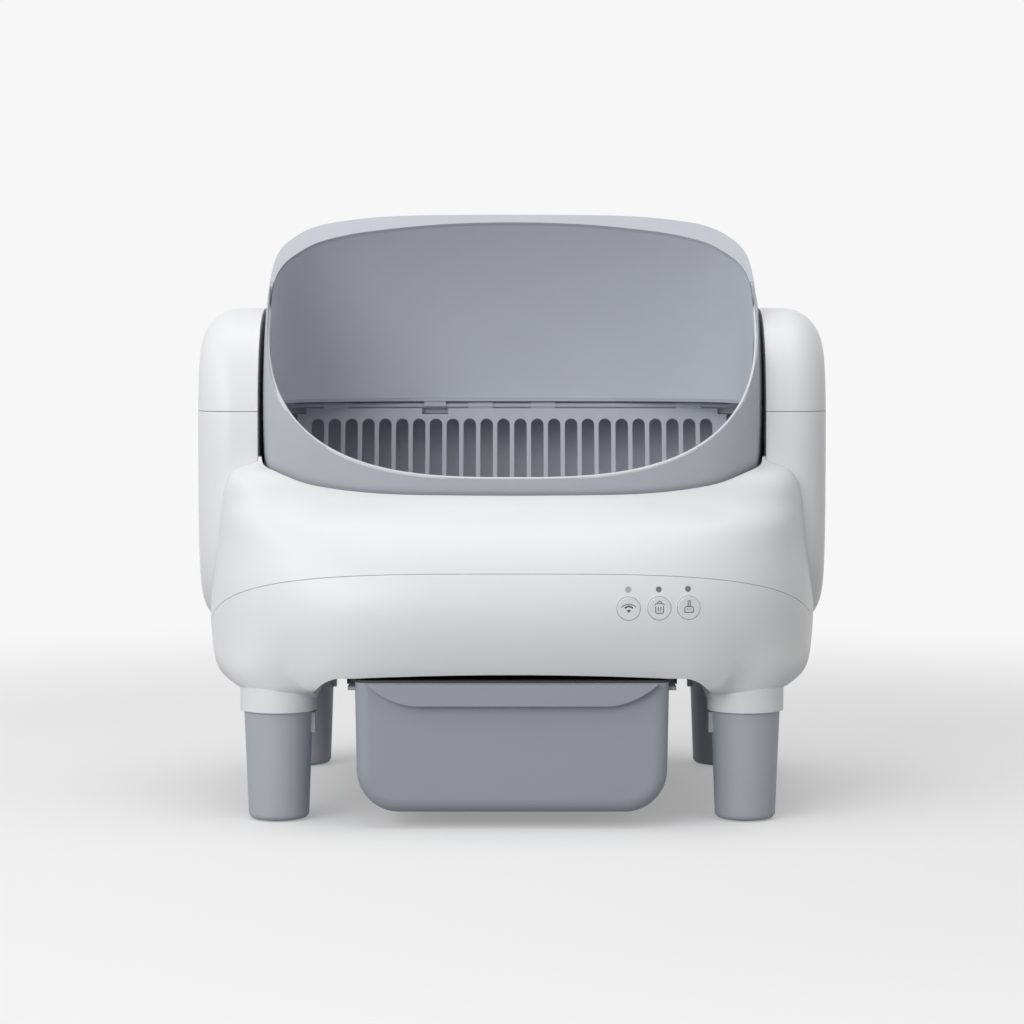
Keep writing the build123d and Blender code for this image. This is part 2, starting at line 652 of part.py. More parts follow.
# Drum cradle: trough under the drum, chute down to the bin, four posts on the tray's floor
with BuildPart() as drum_cradle:
    add(drum_form(DRUM_GAP + CRADLE_WALL))
    with BuildSketch(Plane.XY.offset(BODY_BOTTOM_Z)):
        Rectangle(2 * (POD_INNER_X - BODY_CLEARANCE), 2 * BODY_HALF_DEPTH)
    extrude(amount=CRADLE_TOP_Z - BODY_BOTTOM_Z, mode=Mode.INTERSECT)
    with BuildSketch(Plane.XY.offset(BODY_BOTTOM_Z + SHELL_WALL)):
        with GridLocations(2 * CRADLE_POST_X, 2 * CRADLE_POST_Y, 2, 2):
            Circle(CRADLE_POST_RADIUS)
    extrude(amount=AXIS_Z - DRUM_RADIUS / 2 - BODY_BOTTOM_Z)
    with BuildSketch(Plane.XY.offset(UNDERSIDE_Z)):
        Rectangle(2 * (CHUTE_HALF_WIDTH + CHUTE_WALL), 2 * (CHUTE_HALF_DEPTH + CHUTE_WALL))
    extrude(amount=2 * CHUTE_DEPTH)
    add(tunnel_roof, mode=Mode.SUBTRACT)
    add(drum_way, mode=Mode.SUBTRACT)
    with BuildSketch(Plane.XY.offset(UNDERSIDE_Z)):
        Rectangle(2 * CHUTE_HALF_WIDTH, 2 * CHUTE_HALF_DEPTH)
    extrude(amount=2 * CHUTE_DEPTH, mode=Mode.SUBTRACT)
    with BuildSketch(Plane.XY.offset(BODY_BOTTOM_Z + SHELL_WALL)):
        with GridLocations(2 * CRADLE_POST_X, 2 * CRADLE_POST_Y, 2, 2):
            Circle(SCREW_SHANK_RADIUS)
    extrude(amount=BASE_SCREW_LENGTH, mode=Mode.SUBTRACT)
drum_cradle.part.label = "drum_cradle"
export_step(drum_cradle.part, "parts/drum_cradle.step")

# Base screws: up through the tray's floor into the cradle's posts
with BuildPart() as base_screws:
    with BuildSketch(Plane.XY.offset(BODY_BOTTOM_Z)):
        with GridLocations(2 * CRADLE_POST_X, 2 * CRADLE_POST_Y, 2, 2):
            Circle(SCREW_HEAD_RADIUS)
    extrude(amount=-SCREW_HEAD_HEIGHT)
    with BuildSketch(Plane.XY.offset(BODY_BOTTOM_Z)):
        with GridLocations(2 * CRADLE_POST_X, 2 * CRADLE_POST_Y, 2, 2):
            Circle(SCREW_SHANK_RADIUS)
    extrude(amount=BASE_SCREW_LENGTH)
base_screws.part.label = "base_screws"
export_step(base_screws.part, "parts/base_screws.step")

# Chute gasket: under the tray's arched ceiling, around the chute's outlet
with BuildPart() as chute_gasket:
    with BuildSketch(Plane.XY.offset(UNDERSIDE_Z - GASKET_BOTTOM_BELOW)):
        Rectangle(2 * (CHUTE_HALF_WIDTH + GASKET_WIDTH), 2 * (CHUTE_HALF_DEPTH + GASKET_WIDTH))
        Rectangle(2 * CHUTE_HALF_WIDTH, 2 * CHUTE_HALF_DEPTH, mode=Mode.SUBTRACT)
    extrude(amount=OVERRUN)
    add(tunnel, mode=Mode.INTERSECT)
chute_gasket.part.label = "chute_gasket"
export_step(chute_gasket.part, "parts/chute_gasket.step")

# Legs: tapered, with a spigot in the socket, a snap tab on the inner side and a recess for the pad
leg_shoulder_z = SOCKET_BOTTOM_Z - SEAM_GAP
leg_sides = (
    ("front_left_leg", -1, -1),
    ("front_right_leg", 1, -1),
    ("rear_left_leg", -1, 1),
    ("rear_right_leg", 1, 1),
)
for leg_name, side, end in leg_sides:
    leg_plane = Plane(origin=(side * LEG_X, end * LEG_Y, 0), x_dir=(side, 0, 0), z_dir=(0, -side, 0))
    with BuildPart() as leg:
        with BuildSketch(leg_plane):
            with BuildLine():
                Line((0, LEG_BOTTOM_Z), (LEG_FOOT_RADIUS - LEG_FOOT_ROUND, LEG_BOTTOM_Z))
                foot_centre = (LEG_FOOT_RADIUS - LEG_FOOT_ROUND, LEG_BOTTOM_Z + LEG_FOOT_ROUND)
                CenterArc(foot_centre, LEG_FOOT_ROUND, -90, 90)
                foot_side = (LEG_FOOT_RADIUS, LEG_BOTTOM_Z + LEG_FOOT_ROUND)
                Polyline(
                    foot_side,
                    (LEG_TOP_RADIUS, leg_shoulder_z),
                    (SPIGOT_RADIUS, leg_shoulder_z),
                    (SPIGOT_RADIUS, SPIGOT_TOP_Z),
                    (0, SPIGOT_TOP_Z),
                    (0, LEG_BOTTOM_Z),
                )
            make_face()
        revolve(axis=Axis((side * LEG_X, end * LEG_Y, 0), (0, 0, 1)))
        tab_top = SOCKET_BOTTOM_Z - TAB_TOP_BELOW_SOCKET
        tab_depth = TAB_PROUD + TAB_ROOT
        tab_x = side * (LEG_X - LEG_TOP_RADIUS - TAB_PROUD + tab_depth / 2)
        with BuildSketch(Plane.XY.offset(tab_top - TAB_HEIGHT)):
            with Locations((tab_x, end * LEG_Y)):
                Rectangle(tab_depth, TAB_WIDTH)
        extrude(amount=TAB_HEIGHT)
        with BuildSketch(Plane.XY):
            with Locations((side * LEG_X, end * LEG_Y)):
                Circle(PAD_RADIUS)
        extrude(amount=PAD_HEIGHT, mode=Mode.SUBTRACT)
    leg.part.label = leg_name
    export_step(leg.part, "parts/" + leg_name + ".step")

# Foot pads
with BuildPart() as foot_pads:
    with BuildSketch(Plane.XY):
        with GridLocations(2 * LEG_X, 2 * LEG_Y, 2, 2):
            Circle(PAD_RADIUS)
    extrude(amount=PAD_HEIGHT)
foot_pads.part.label = "foot_pads"
export_step(foot_pads.part, "parts/foot_pads.step")

# Load cells between the spigots and the sockets' ceilings
with BuildPart() as load_cells:
    with BuildSketch(Plane.XY.offset(SPIGOT_TOP_Z)):
        with GridLocations(2 * LEG_X, 2 * LEG_Y, 2, 2):
            Circle(LOAD_CELL_RADIUS)
    extrude(amount=LOAD_CELL_HEIGHT)
load_cells.part.label = "load_cells"
export_step(load_cells.part, "parts/load_cells.step")

# Pod covers: one hollow pod per side, parted at the drum's axis, bored for the bush
with BuildPart() as pod_shell:
    add(pod_outer)
    add(pod_inner, mode=Mode.SUBTRACT)
    with BuildSketch(SIDE_PLANE.offset(POD_INNER_X)):
        with Locations((0, AXIS_Z)):
            Circle(BUSH_RADIUS)
    extrude(amount=2 * POD_WALL, both=True, mode=Mode.SUBTRACT)

with BuildPart() as right_pod_upper:
    add(pod_shell.part)
    with BuildSketch(Plane.XY.offset(AXIS_Z + SEAM_GAP / 2)):
        Rectangle(2 * REACH, 2 * REACH)
    extrude(amount=REACH, mode=Mode.INTERSECT)
right_pod_upper.part.label = "right_pod_upper"
export_step(right_pod_upper.part, "parts/right_pod_upper.step")

with BuildPart() as right_pod_lower:
    add(pod_shell.part)
    with BuildSketch(Plane.XY.offset(AXIS_Z - SEAM_GAP / 2)):
        Rectangle(2 * REACH, 2 * REACH)
    extrude(amount=-REACH, mode=Mode.INTERSECT)
right_pod_lower.part.label = "right_pod_lower"
export_step(right_pod_lower.part, "parts/right_pod_lower.step")

with BuildPart() as left_pod_upper:
    mirror(right_pod_upper.part, about=Plane.YZ)
left_pod_upper.part.label = "left_pod_upper"
export_step(left_pod_upper.part, "parts/left_pod_upper.step")

with BuildPart() as left_pod_lower:
    mirror(right_pod_lower.part, about=Plane.YZ)
left_pod_lower.part.label = "left_pod_lower"
export_step(left_pod_lower.part, "parts/left_pod_lower.step")

# Hub bushes in the pods' inner walls
with BuildPart() as right_hub_bush:
    with BuildSketch(SIDE_PLANE.offset(POD_INNER_X)):
        with Locations((0, AXIS_Z)):
            Circle(BUSH_RADIUS)
    extrude(amount=BUSH_LENGTH)
    with BuildSketch(SIDE_PLANE.offset(POD_INNER_X + POD_WALL)):
        with Locations((0, AXIS_Z)):
            Circle(BUSH_FLANGE_RADIUS)
    extrude(amount=BUSH_FLANGE)
    with BuildSketch(SIDE_PLANE.offset(POD_INNER_X)):
        with Locations((0, AXIS_Z)):
            Circle(TRUNNION_RADIUS + RUNNING_CLEARANCE)
    extrude(amount=2 * BUSH_LENGTH, both=True, mode=Mode.SUBTRACT)
right_hub_bush.part.label = "right_hub_bush"
export_step(right_hub_bush.part, "parts/right_hub_bush.step")

with BuildPart() as left_hub_bush:
    mirror(right_hub_bush.part, about=Plane.YZ)
left_hub_bush.part.label = "left_hub_bush"
export_step(left_hub_bush.part, "parts/left_hub_bush.step")

# Drum bowl: the barrel's lower part, with the slanting mouth and the scooped front
scoop_curve = []
for step in range(SCOOP_POINTS):
    turn = pi + pi * step / (SCOOP_POINTS - 1)
    across = copysign(abs(cos(turn)) ** (2 / SCOOP_EXPONENT), cos(turn))
    down = abs(sin(turn)) ** (2 / SCOOP_EXPONENT)
    scoop_curve.append((SCOOP_HALF_WIDTH * across, -SCOOP_DEPTH * down))
scoop_plane = Plane(
    origin=(0, SCOOP_BACK_Y, AXIS_Z + SCOOP_CENTRE_ABOVE_AXIS), x_dir=(1, 0, 0), z_dir=(0, -1, 0)
)
with BuildPart() as scoop:
    with BuildSketch(scoop_plane):
        with BuildLine():
            Spline(*scoop_curve, tangents=((0, -1), (0, 1)))
            Polyline(
                scoop_curve[-1],
                (SCOOP_HALF_WIDTH, DRUM_RADIUS),
                (-SCOOP_HALF_WIDTH, DRUM_RADIUS),
                scoop_curve[0],
            )
        make_face()
    extrude(amount=DRUM_RADIUS)

with BuildPart() as drum_bowl:
    add(drum_outer)
    add(drum_inner, mode=Mode.SUBTRACT)
    add(mouth, mode=Mode.SUBTRACT)
    add(scoop.part, mode=Mode.SUBTRACT)
    add(above_split(-SEAM_GAP / 2), mode=Mode.SUBTRACT)
    with BuildSketch(SIDE_PLANE):
        with Locations((0, AXIS_Z)):
            with PolarLocations(TRUNNION_SCREW_CIRCLE, TRUNNION_SCREW_COUNT):
                Circle(SCREW_SHANK_RADIUS)
    extrude(amount=DRUM_HALF_LENGTH + OVERRUN, both=True, mode=Mode.SUBTRACT)
drum_bowl.part.label = "drum_bowl"
export_step(drum_bowl.part, "parts/drum_bowl.step")

# Drum hood: outer wall over the back, closed to the back panel by the rim band
panel_face = panel_form(0)
with BuildPart() as rim_band:
    add(drum_outer)
    add(above_rim(BAND_THICKNESS), mode=Mode.INTERSECT)
    add(mouth, mode=Mode.SUBTRACT)
    add(panel_face, mode=Mode.SUBTRACT)

with BuildPart() as drum_hood:
    add(drum_outer)
    add(drum_inner, mode=Mode.SUBTRACT)
    add(mouth, mode=Mode.SUBTRACT)
    add(rim_band.part)
    add(above_split(SEAM_GAP / 2), mode=Mode.INTERSECT)
drum_hood.part.label = "drum_hood"
export_step(drum_hood.part, "parts/drum_hood.step")

# Back panel: the curved inner wall of the hood, from the rim band down to the grate bar
bar_top = AXIS_Z + PANEL_BOTTOM_ABOVE_AXIS
panel_room = drum_form(-DRUM_WALL - PANEL_SIDE_GAP)
with BuildPart() as back_panel:
    add(panel_form(PANEL_WALL))
    add(panel_face, mode=Mode.SUBTRACT)
    add(panel_room, mode=Mode.INTERSECT)
    add(above_rim(BAND_THICKNESS), mode=Mode.SUBTRACT)
    with BuildSketch(Plane.XY.offset(bar_top)):
        Rectangle(2 * REACH, 2 * REACH)
    extrude(amount=REACH, mode=Mode.INTERSECT)
back_panel.part.label = "back_panel"
export_step(back_panel.part, "parts/back_panel.step")

# Grate bar: an angle under the panel, with a shelf that closes the panel's rounded corners below
# and a bracket at each end for the hinge rod
bar_front = BAR_BACK_Y - BAR_DEPTH
with BuildPart() as bar_shelf:
    with BuildSketch(Plane.XY.offset(bar_top)):
        with Locations((0, BAR_BACK_Y / 2)):
            Rectangle(2 * BAR_HALF_LENGTH, BAR_BACK_Y)
    extrude(amount=-BAR_FLANGE)
    add(panel_room, mode=Mode.INTERSECT)
    add(panel_face, mode=Mode.SUBTRACT)

with BuildPart() as grate_bar:
    with BuildSketch(SIDE_PLANE):
        with BuildLine():
            Polyline(
                (bar_front, bar_top),
                (BAR_BACK_Y, bar_top),
                (BAR_BACK_Y, bar_top - BAR_DROP),
                (BAR_BACK_Y - BAR_FLANGE, bar_top - BAR_DROP),
                (BAR_BACK_Y - BAR_FLANGE, bar_top - BAR_FLANGE),
                (bar_front, bar_top - BAR_FLANGE),
                close=True,
            )
        make_face()
    extrude(amount=BAR_HALF_LENGTH, both=True)
    add(bar_shelf.part)
    for side in (-1, 1):
        with BuildSketch(SIDE_PLANE.offset(side * BRACKET_INNER_X)):
            with Locations(((bar_front + BAR_BACK_Y) / 2, bar_top - BRACKET_DROP / 2)):
                Rectangle(BAR_DEPTH, BRACKET_DROP)
        extrude(amount=side * BRACKET_WIDTH)
    with BuildSketch(SIDE_PLANE):
        with Locations((ROD_Y, ROD_Z)):
            Circle(ROD_RADIUS)
    extrude(amount=ROD_HALF_LENGTH, both=True, mode=Mode.SUBTRACT)
grate_bar.part.label = "grate_bar"
export_step(grate_bar.part, "parts/grate_bar.step")

# Hinge rod of the grate
with BuildPart() as grate_rod:
    with BuildSketch(SIDE_PLANE):
        with Locations((ROD_Y, ROD_Z)):
            Circle(ROD_RADIUS)
    extrude(amount=ROD_HALF_LENGTH, both=True)
grate_rod.part.label = "grate_rod"
export_step(grate_rod.part, "parts/grate_rod.step")

# Rod clip: a small tongue that keeps the rod under the bar
clip_back = ROD_Y - ROD_RADIUS
with BuildPart() as rod_clip:
    with BuildSketch(SIDE_PLANE.offset(CLIP_X - CLIP_WIDTH / 2)):
        with Locations((clip_back - CLIP_THICKNESS / 2, bar_top - BAR_FLANGE - CLIP_DROP / 2)):
            Rectangle(CLIP_THICKNESS, CLIP_DROP)
    extrude(amount=CLIP_WIDTH)
rod_clip.part.label = "rod_clip"
export_step(rod_clip.part, "parts/rod_clip.step")

# Sifting grate: slotted plate that hangs on the rod and ends on the bowl's wall
lean_sin = sin(radians(GRATE_LEAN))
lean_cos = cos(radians(GRATE_LEAN))
grate_plane = Plane(origin=(0, ROD_Y, ROD_Z), x_dir=(1, 0, 0), z_dir=(0, -lean_cos, lean_sin))


def grate_reach(across):
    """How far down its slope the plate can go before it meets the bowl's wall."""
    radius = drum_radius_at(across) - DRUM_WALL - GRATE_WALL_GAP
    middle = ROD_Y * lean_sin - ROD_BELOW_AXIS * lean_cos
    return middle + sqrt(middle**2 + radius**2 - ROD_Y**2 - ROD_BELOW_AXIS**2)


with BuildPart() as sifting_grate:
    with BuildSketch(grate_plane):
        with Locations((0, -(GRATE_SHOULDER + GRATE_LENGTH) / 2)):
            Rectangle(2 * GRATE_HALF_WIDTH, GRATE_LENGTH - GRATE_SHOULDER)
        with Locations((0, -(GRATE_TOP + GRATE_SHOULDER) / 2)):
            Rectangle(2 * GRATE_TOP_HALF_WIDTH, GRATE_SHOULDER - GRATE_TOP)
        with Locations((CLIP_X, -GRATE_SHOULDER / 2)):
            Rectangle(CLIP_WIDTH + 2 * NOTCH_SIDE, GRATE_SHOULDER, mode=Mode.SUBTRACT)
        for slot in range(SLOT_COUNT):
            slot_x = (slot - (SLOT_COUNT - 1) / 2) * SLOT_PITCH
            slot_foot = grate_reach(abs(slot_x) + SLOT_WIDTH / 2) - SLOT_FOOT
            with Locations((slot_x, -(SLOT_TOP + slot_foot) / 2)):
                SlotOverall(slot_foot - SLOT_TOP, SLOT_WIDTH, rotation=90, mode=Mode.SUBTRACT)
    extrude(amount=GRATE_THICKNESS / 2, both=True)
    add(drum_form(-DRUM_WALL - GRATE_WALL_GAP), mode=Mode.INTERSECT)
    for knuckle_share in KNUCKLE_PLACE_SHARES:
        knuckle_x = knuckle_share * GRATE_HALF_WIDTH
        with BuildSketch(grate_plane):
            with Locations((knuckle_x, -KNUCKLE_WEB / 2)):
                Rectangle(KNUCKLE_LENGTH, KNUCKLE_WEB)
        extrude(amount=GRATE_THICKNESS / 2, both=True)
        with BuildSketch(SIDE_PLANE.offset(knuckle_x - KNUCKLE_LENGTH / 2)):
            with Locations((ROD_Y, ROD_Z)):
                Circle(KNUCKLE_RADIUS)
        extrude(amount=KNUCKLE_LENGTH)
    with BuildSketch(SIDE_PLANE):
        with Locations((ROD_Y, ROD_Z)):
            Circle(ROD_RADIUS + RUNNING_CLEARANCE)
    extrude(amount=ROD_HALF_LENGTH, both=True, mode=Mode.SUBTRACT)
sifting_grate.part.label = "sifting_grate"
export_step(sifting_grate.part, "parts/sifting_grate.step")

# Trunnions: cups screwed to the drum's ends, running in the bushes
with BuildPart() as right_trunnion:
    with BuildSketch(SIDE_PLANE.offset(DRUM_HALF_LENGTH)):
        with Locations((0, AXIS_Z)):
            Circle(TRUNNION_RADIUS)
    extrude(amount=TRUNNION_LENGTH)
    with BuildSketch(SIDE_PLANE.offset(DRUM_HALF_LENGTH + TRUNNION_FLOOR)):
        with Locations((0, AXIS_Z)):
            Circle(TRUNNION_BORE_RADIUS)
    extrude(amount=TRUNNION_LENGTH, mode=Mode.SUBTRACT)
    with BuildSketch(SIDE_PLANE.offset(DRUM_HALF_LENGTH)):
        with Locations((0, AXIS_Z)):
            with PolarLocations(TRUNNION_SCREW_CIRCLE, TRUNNION_SCREW_COUNT):
                Circle(SCREW_SHANK_RADIUS)
    extrude(amount=TRUNNION_FLOOR, mode=Mode.SUBTRACT)
right_trunnion.part.label = "right_trunnion"
export_step(right_trunnion.part, "parts/right_trunnion.step")

with BuildPart() as left_trunnion:
    mirror(right_trunnion.part, about=Plane.YZ)
left_trunnion.part.label = "left_trunnion"
export_step(left_trunnion.part, "parts/left_trunnion.step")

# Trunnion screws, both ends
trunnion_floor_x = DRUM_HALF_LENGTH + TRUNNION_FLOOR
with BuildPart() as trunnion_screws:
    for side in (-1, 1):
        with BuildSketch(SIDE_PLANE.offset(side * trunnion_floor_x)):
            with Locations((0, AXIS_Z)):
                with PolarLocations(TRUNNION_SCREW_CIRCLE, TRUNNION_SCREW_COUNT):
                    Circle(SCREW_HEAD_RADIUS)
        extrude(amount=side * SCREW_HEAD_HEIGHT)
        with BuildSketch(SIDE_PLANE.offset(side * trunnion_floor_x)):
            with Locations((0, AXIS_Z)):
                with PolarLocations(TRUNNION_SCREW_CIRCLE, TRUNNION_SCREW_COUNT):
                    Circle(SCREW_SHANK_RADIUS)
        extrude(amount=-side * (TRUNNION_FLOOR + DRUM_WALL))
trunnion_screws.part.label = "trunnion_screws"
export_step(trunnion_screws.part, "parts/trunnion_screws.step")

# Ring gear on the right trunnion, with a gap of its teeth straight below
ring_x = POD_INNER_X + RING_INSET
with BuildPart() as ring_gear:
    with BuildSketch(Plane(origin=(ring_x, 0, AXIS_Z), x_dir=(0, 1, 0), z_dir=(1, 0, 0))):
        with BuildLine():
            Polyline(*gear_outline(RING_TEETH, RING_BACKLASH, 180 / RING_TEETH - 90), close=True)
        make_face()
        Circle(TRUNNION_RADIUS, mode=Mode.SUBTRACT)
    extrude(amount=RING_WIDTH)
    with BuildSketch(SIDE_PLANE.offset(ring_x)):
        with Locations((0, AXIS_Z + MAGNET_CIRCLE)):
            Circle(MAGNET_RADIUS)
    extrude(amount=MAGNET_DEPTH, mode=Mode.SUBTRACT)
ring_gear.part.label = "ring_gear"
export_step(ring_gear.part, "parts/ring_gear.step")

# Position magnet in the ring gear's inner face
with BuildPart() as position_magnet:
    with BuildSketch(SIDE_PLANE.offset(ring_x)):
        with Locations((0, AXIS_Z + MAGNET_CIRCLE)):
            Circle(MAGNET_RADIUS)
    extrude(amount=MAGNET_DEPTH)
position_magnet.part.label = "position_magnet"
export_step(position_magnet.part, "parts/position_magnet.step")

# Drive pinion with its shaft, a tooth straight up in the ring gear's gap
plate_x = POD_INNER_X + POD_WALL
shaft_start = plate_x + BODY_CLEARANCE
shaft_end = GEARBOX_INNER_X + PINION_SHAFT_IN_BOX
with BuildPart() as drive_pinion:
    with BuildSketch(Plane(origin=(ring_x - PINION_OVERLAP, 0, PINION_Z), x_dir=(0, 1, 0), z_dir=(1, 0, 0))):
        with BuildLine():
            Polyline(*gear_outline(PINION_TEETH, PINION_BACKLASH, 90), close=True)
        make_face()
    extrude(amount=RING_WIDTH + 2 * PINION_OVERLAP)
    with BuildSketch(SIDE_PLANE.offset(shaft_start)):
        with Locations((0, PINION_Z)):
            Circle(PINION_SHAFT_RADIUS)
    extrude(amount=shaft_end - shaft_start)
drive_pinion.part.label = "drive_pinion"
export_step(drive_pinion.part, "parts/drive_pinion.step")

# Motor bracket on the pod's inner wall, four posts to the gearbox
with BuildPart() as motor_bracket:
    with BuildSketch(SIDE_PLANE.offset(plate_x)):
        with Locations((0, (BRACKET_LOW_Z + BRACKET_HIGH_Z) / 2)):
            Rectangle(2 * BRACKET_HALF_DEPTH, BRACKET_HIGH_Z - BRACKET_LOW_Z)
        with Locations((0, PINION_Z)):
            Circle(PINION_SHAFT_RADIUS + RUNNING_CLEARANCE, mode=Mode.SUBTRACT)
    extrude(amount=BRACKET_PLATE)
    with BuildSketch(SIDE_PLANE.offset(plate_x)):
        with Locations((0, (POST_LOW_Z + POST_HIGH_Z) / 2)):
            with GridLocations(2 * POST_HALF_SPREAD, POST_HIGH_Z - POST_LOW_Z, 2, 2):
                Circle(POST_RADIUS)
    extrude(amount=GEARBOX_INNER_X - plate_x)
motor_bracket.part.label = "motor_bracket"
export_step(motor_bracket.part, "parts/motor_bracket.step")

# Gearbox, bored for the pinion's shaft
with BuildPart() as drive_gearbox:
    with BuildSketch(SIDE_PLANE.offset(GEARBOX_INNER_X)):
        with Locations((0, (GEARBOX_LOW_Z + GEARBOX_HIGH_Z) / 2)):
            RectangleRounded(2 * GEARBOX_HALF_DEPTH, GEARBOX_HIGH_Z - GEARBOX_LOW_Z, GEARBOX_ROUND)
    extrude(amount=GEARBOX_WIDTH)
    with BuildSketch(SIDE_PLANE.offset(GEARBOX_INNER_X)):
        with Locations((0, PINION_Z)):
            Circle(PINION_SHAFT_RADIUS + RUNNING_CLEARANCE)
    extrude(amount=PINION_SHAFT_IN_BOX + BODY_CLEARANCE, mode=Mode.SUBTRACT)
drive_gearbox.part.label = "drive_gearbox"
export_step(drive_gearbox.part, "parts/drive_gearbox.step")

# Drive motor hanging under the gearbox
motor_x = GEARBOX_INNER_X + GEARBOX_WIDTH / 2
with BuildPart() as drive_motor:
    with BuildSketch(Plane.XY.offset(GEARBOX_LOW_Z)):
        with Locations((motor_x, 0)):
            Circle(MOTOR_RADIUS)
    extrude(amount=-MOTOR_LENGTH)
    with BuildSketch(Plane.XY.offset(GEARBOX_LOW_Z - MOTOR_LENGTH)):
        with Locations((motor_x, 0)):
            Circle(MOTOR_CAP_RADIUS)
    extrude(amount=-MOTOR_CAP_LENGTH)
drive_motor.part.label = "drive_motor"
export_step(drive_motor.part, "parts/drive_motor.step")

# Sensor board facing the ring gear
with BuildPart() as sensor_board:
    with BuildSketch(SIDE_PLANE.offset(plate_x)):
        with Locations((SENSOR_BOARD_Y, AXIS_Z - SENSOR_BOARD_BELOW)):
            Rectangle(SENSOR_BOARD_DEPTH, SENSOR_BOARD_HEIGHT)
    extrude(amount=BOARD_THICKNESS)
    with BuildSketch(SIDE_PLANE.offset(plate_x + BOARD_THICKNESS)):
        with Locations((SENSOR_BOARD_Y, AXIS_Z - SENSOR_BOARD_BELOW)):
            Rectangle(SENSOR_CHIP, SENSOR_CHIP)
    extrude(amount=BOARD_THICKNESS)
sensor_board.part.label = "sensor_board"
export_step(sensor_board.part, "parts/sensor_board.step")

# Main board on standoffs at the left pod's inner wall
board_x = -plate_x - STANDOFF_LENGTH
board_middle = AXIS_Z - MAIN_BOARD_TOP_BELOW_AXIS - MAIN_BOARD_HEIGHT / 2
board_standoffs_apart = (2 * (MAIN_BOARD_HALF_DEPTH - STANDOFF_EDGE), MAIN_BOARD_HEIGHT - 2 * STANDOFF_EDGE)
with BuildPart() as main_board:
    with BuildSketch(SIDE_PLANE.offset(board_x)):
        with Locations((0, board_middle)):
            Rectangle(2 * MAIN_BOARD_HALF_DEPTH, MAIN_BOARD_HEIGHT)
    extrude(amount=-BOARD_THICKNESS)
    with BuildSketch(SIDE_PLANE.offset(board_x)):
        with Locations((0, board_middle)):
            with GridLocations(*board_standoffs_apart, 2, 2):
                Circle(STANDOFF_RADIUS)
    extrude(amount=STANDOFF_LENGTH)
    with BuildSketch(SIDE_PLANE.offset(board_x - BOARD_THICKNESS)):
        with Locations((0, board_middle)):
            with GridLocations(2 * CHIP_SPREAD, 2 * CHIP_SPREAD, 2, 2):
                Rectangle(CHIP_LONG, CHIP_SHORT)
    extrude(amount=-CHIP_TALL)
main_board.part.label = "main_board"
export_step(main_board.part, "parts/main_board.step")

# Buttons: capped stems that slide in along the skin's normal
for button_name, place in zip(BUTTON_NAMES, button_places):
    with BuildPart() as button:
        with BuildSketch(place.offset(BUTTON_PROUD)):
            Circle(BUTTON_RADIUS)
        extrude(amount=-BUTTON_DEPTH - BUTTON_PROUD)
        fillet(button.faces().sort_by(Axis(place.origin, place.z_dir))[-1].edges(), radius=BUTTON_EDGE_ROUND)
        with BuildSketch(place.offset(-BUTTON_DEPTH)):
            Circle(BUTTON_FLANGE_RADIUS)
        extrude(amount=-BUTTON_FLANGE)
        with BuildSketch(place.offset(-BUTTON_DEPTH - BUTTON_FLANGE)):
            Circle(BUTTON_STEM_RADIUS)
        extrude(amount=-BUTTON_STEM)
    button.part.label = button_name
    export_step(button.part, "parts/" + button_name + ".step")

# Indicator lenses: short light pipes over the buttons
with BuildPart() as indicator_lenses:
    for place in lens_places:
        with BuildSketch(place.offset(LENS_PROUD)):
            Circle(LENS_RADIUS)
        extrude(amount=-LENS_LENGTH)
indicator_lenses.part.label = "indicator_lenses"
export_step(indicator_lenses.part, "parts/indicator_lenses.step")

# Button board with a switch behind each stem, on two standoffs
board_place = button_places[1].offset(-BUTTON_BOARD_DEPTH)
with BuildPart() as board_standoffs:
    with BuildSketch(board_place):
        with GridLocations(2 * BOARD_STANDOFF_HALF_SPREAD, 0, 2, 1):
            Circle(STANDOFF_RADIUS)
    extrude(amount=BUTTON_BOARD_DEPTH)
    add(body_hollow, mode=Mode.INTERSECT)

with BuildPart() as button_board:
    add(board_standoffs.part)
    with BuildSketch(board_place):
        Rectangle(2 * BUTTON_BOARD_HALF_WIDTH, 2 * BUTTON_BOARD_HALF_HEIGHT)
    extrude(amount=-BOARD_THICKNESS)
    for place in button_places:
        switch_at = board_place.to_local_coords(place.origin)
        with BuildSketch(board_place):
            with Locations((switch_at.X, switch_at.Y)):
                Rectangle(SWITCH_SIDE, SWITCH_SIDE)
        extrude(amount=SWITCH_TALL)
button_board.part.label = "button_board"
export_step(button_board.part, "parts/button_board.step")

# Power inlet in the upper shell's back
inlet_plane = Plane(origin=(0, BODY_HALF_DEPTH, BUTTON_Z), x_dir=(-1, 0, 0), z_dir=(0, 1, 0))
with BuildPart() as power_inlet:
    with BuildSketch(inlet_plane):
        Circle(INLET_RADIUS)
    extrude(amount=-INLET_LENGTH)
    with BuildSketch(inlet_plane.offset(-INLET_SEAT)):
        Circle(INLET_FLANGE_RADIUS)
    extrude(amount=-INLET_FLANGE)
    with BuildSketch(inlet_plane):
        Circle(INLET_BORE_RADIUS)
        Circle(INLET_PIN_RADIUS, mode=Mode.SUBTRACT)
    extrude(amount=-INLET_BORE_DEPTH, mode=Mode.SUBTRACT)
power_inlet.part.label = "power_inlet"
export_step(power_inlet.part, "parts/power_inlet.step")


def bin_outline(inset):
    """Front view of the waste bin: drafted sides, round lower corners."""
    top = BIN_HALF_WIDTH - inset
    foot = BIN_HALF_WIDTH - BIN_DRAFT - inset
    bottom = BIN_BOTTOM_Z + inset
    turn = BIN_CORNER - inset
    FilletPolyline((-top, BIN_TOP_Z), (-foot, bottom), (foot, bottom), (top, BIN_TOP_Z), radius=turn)
    Line((top, BIN_TOP_Z), (-top, BIN_TOP_Z))


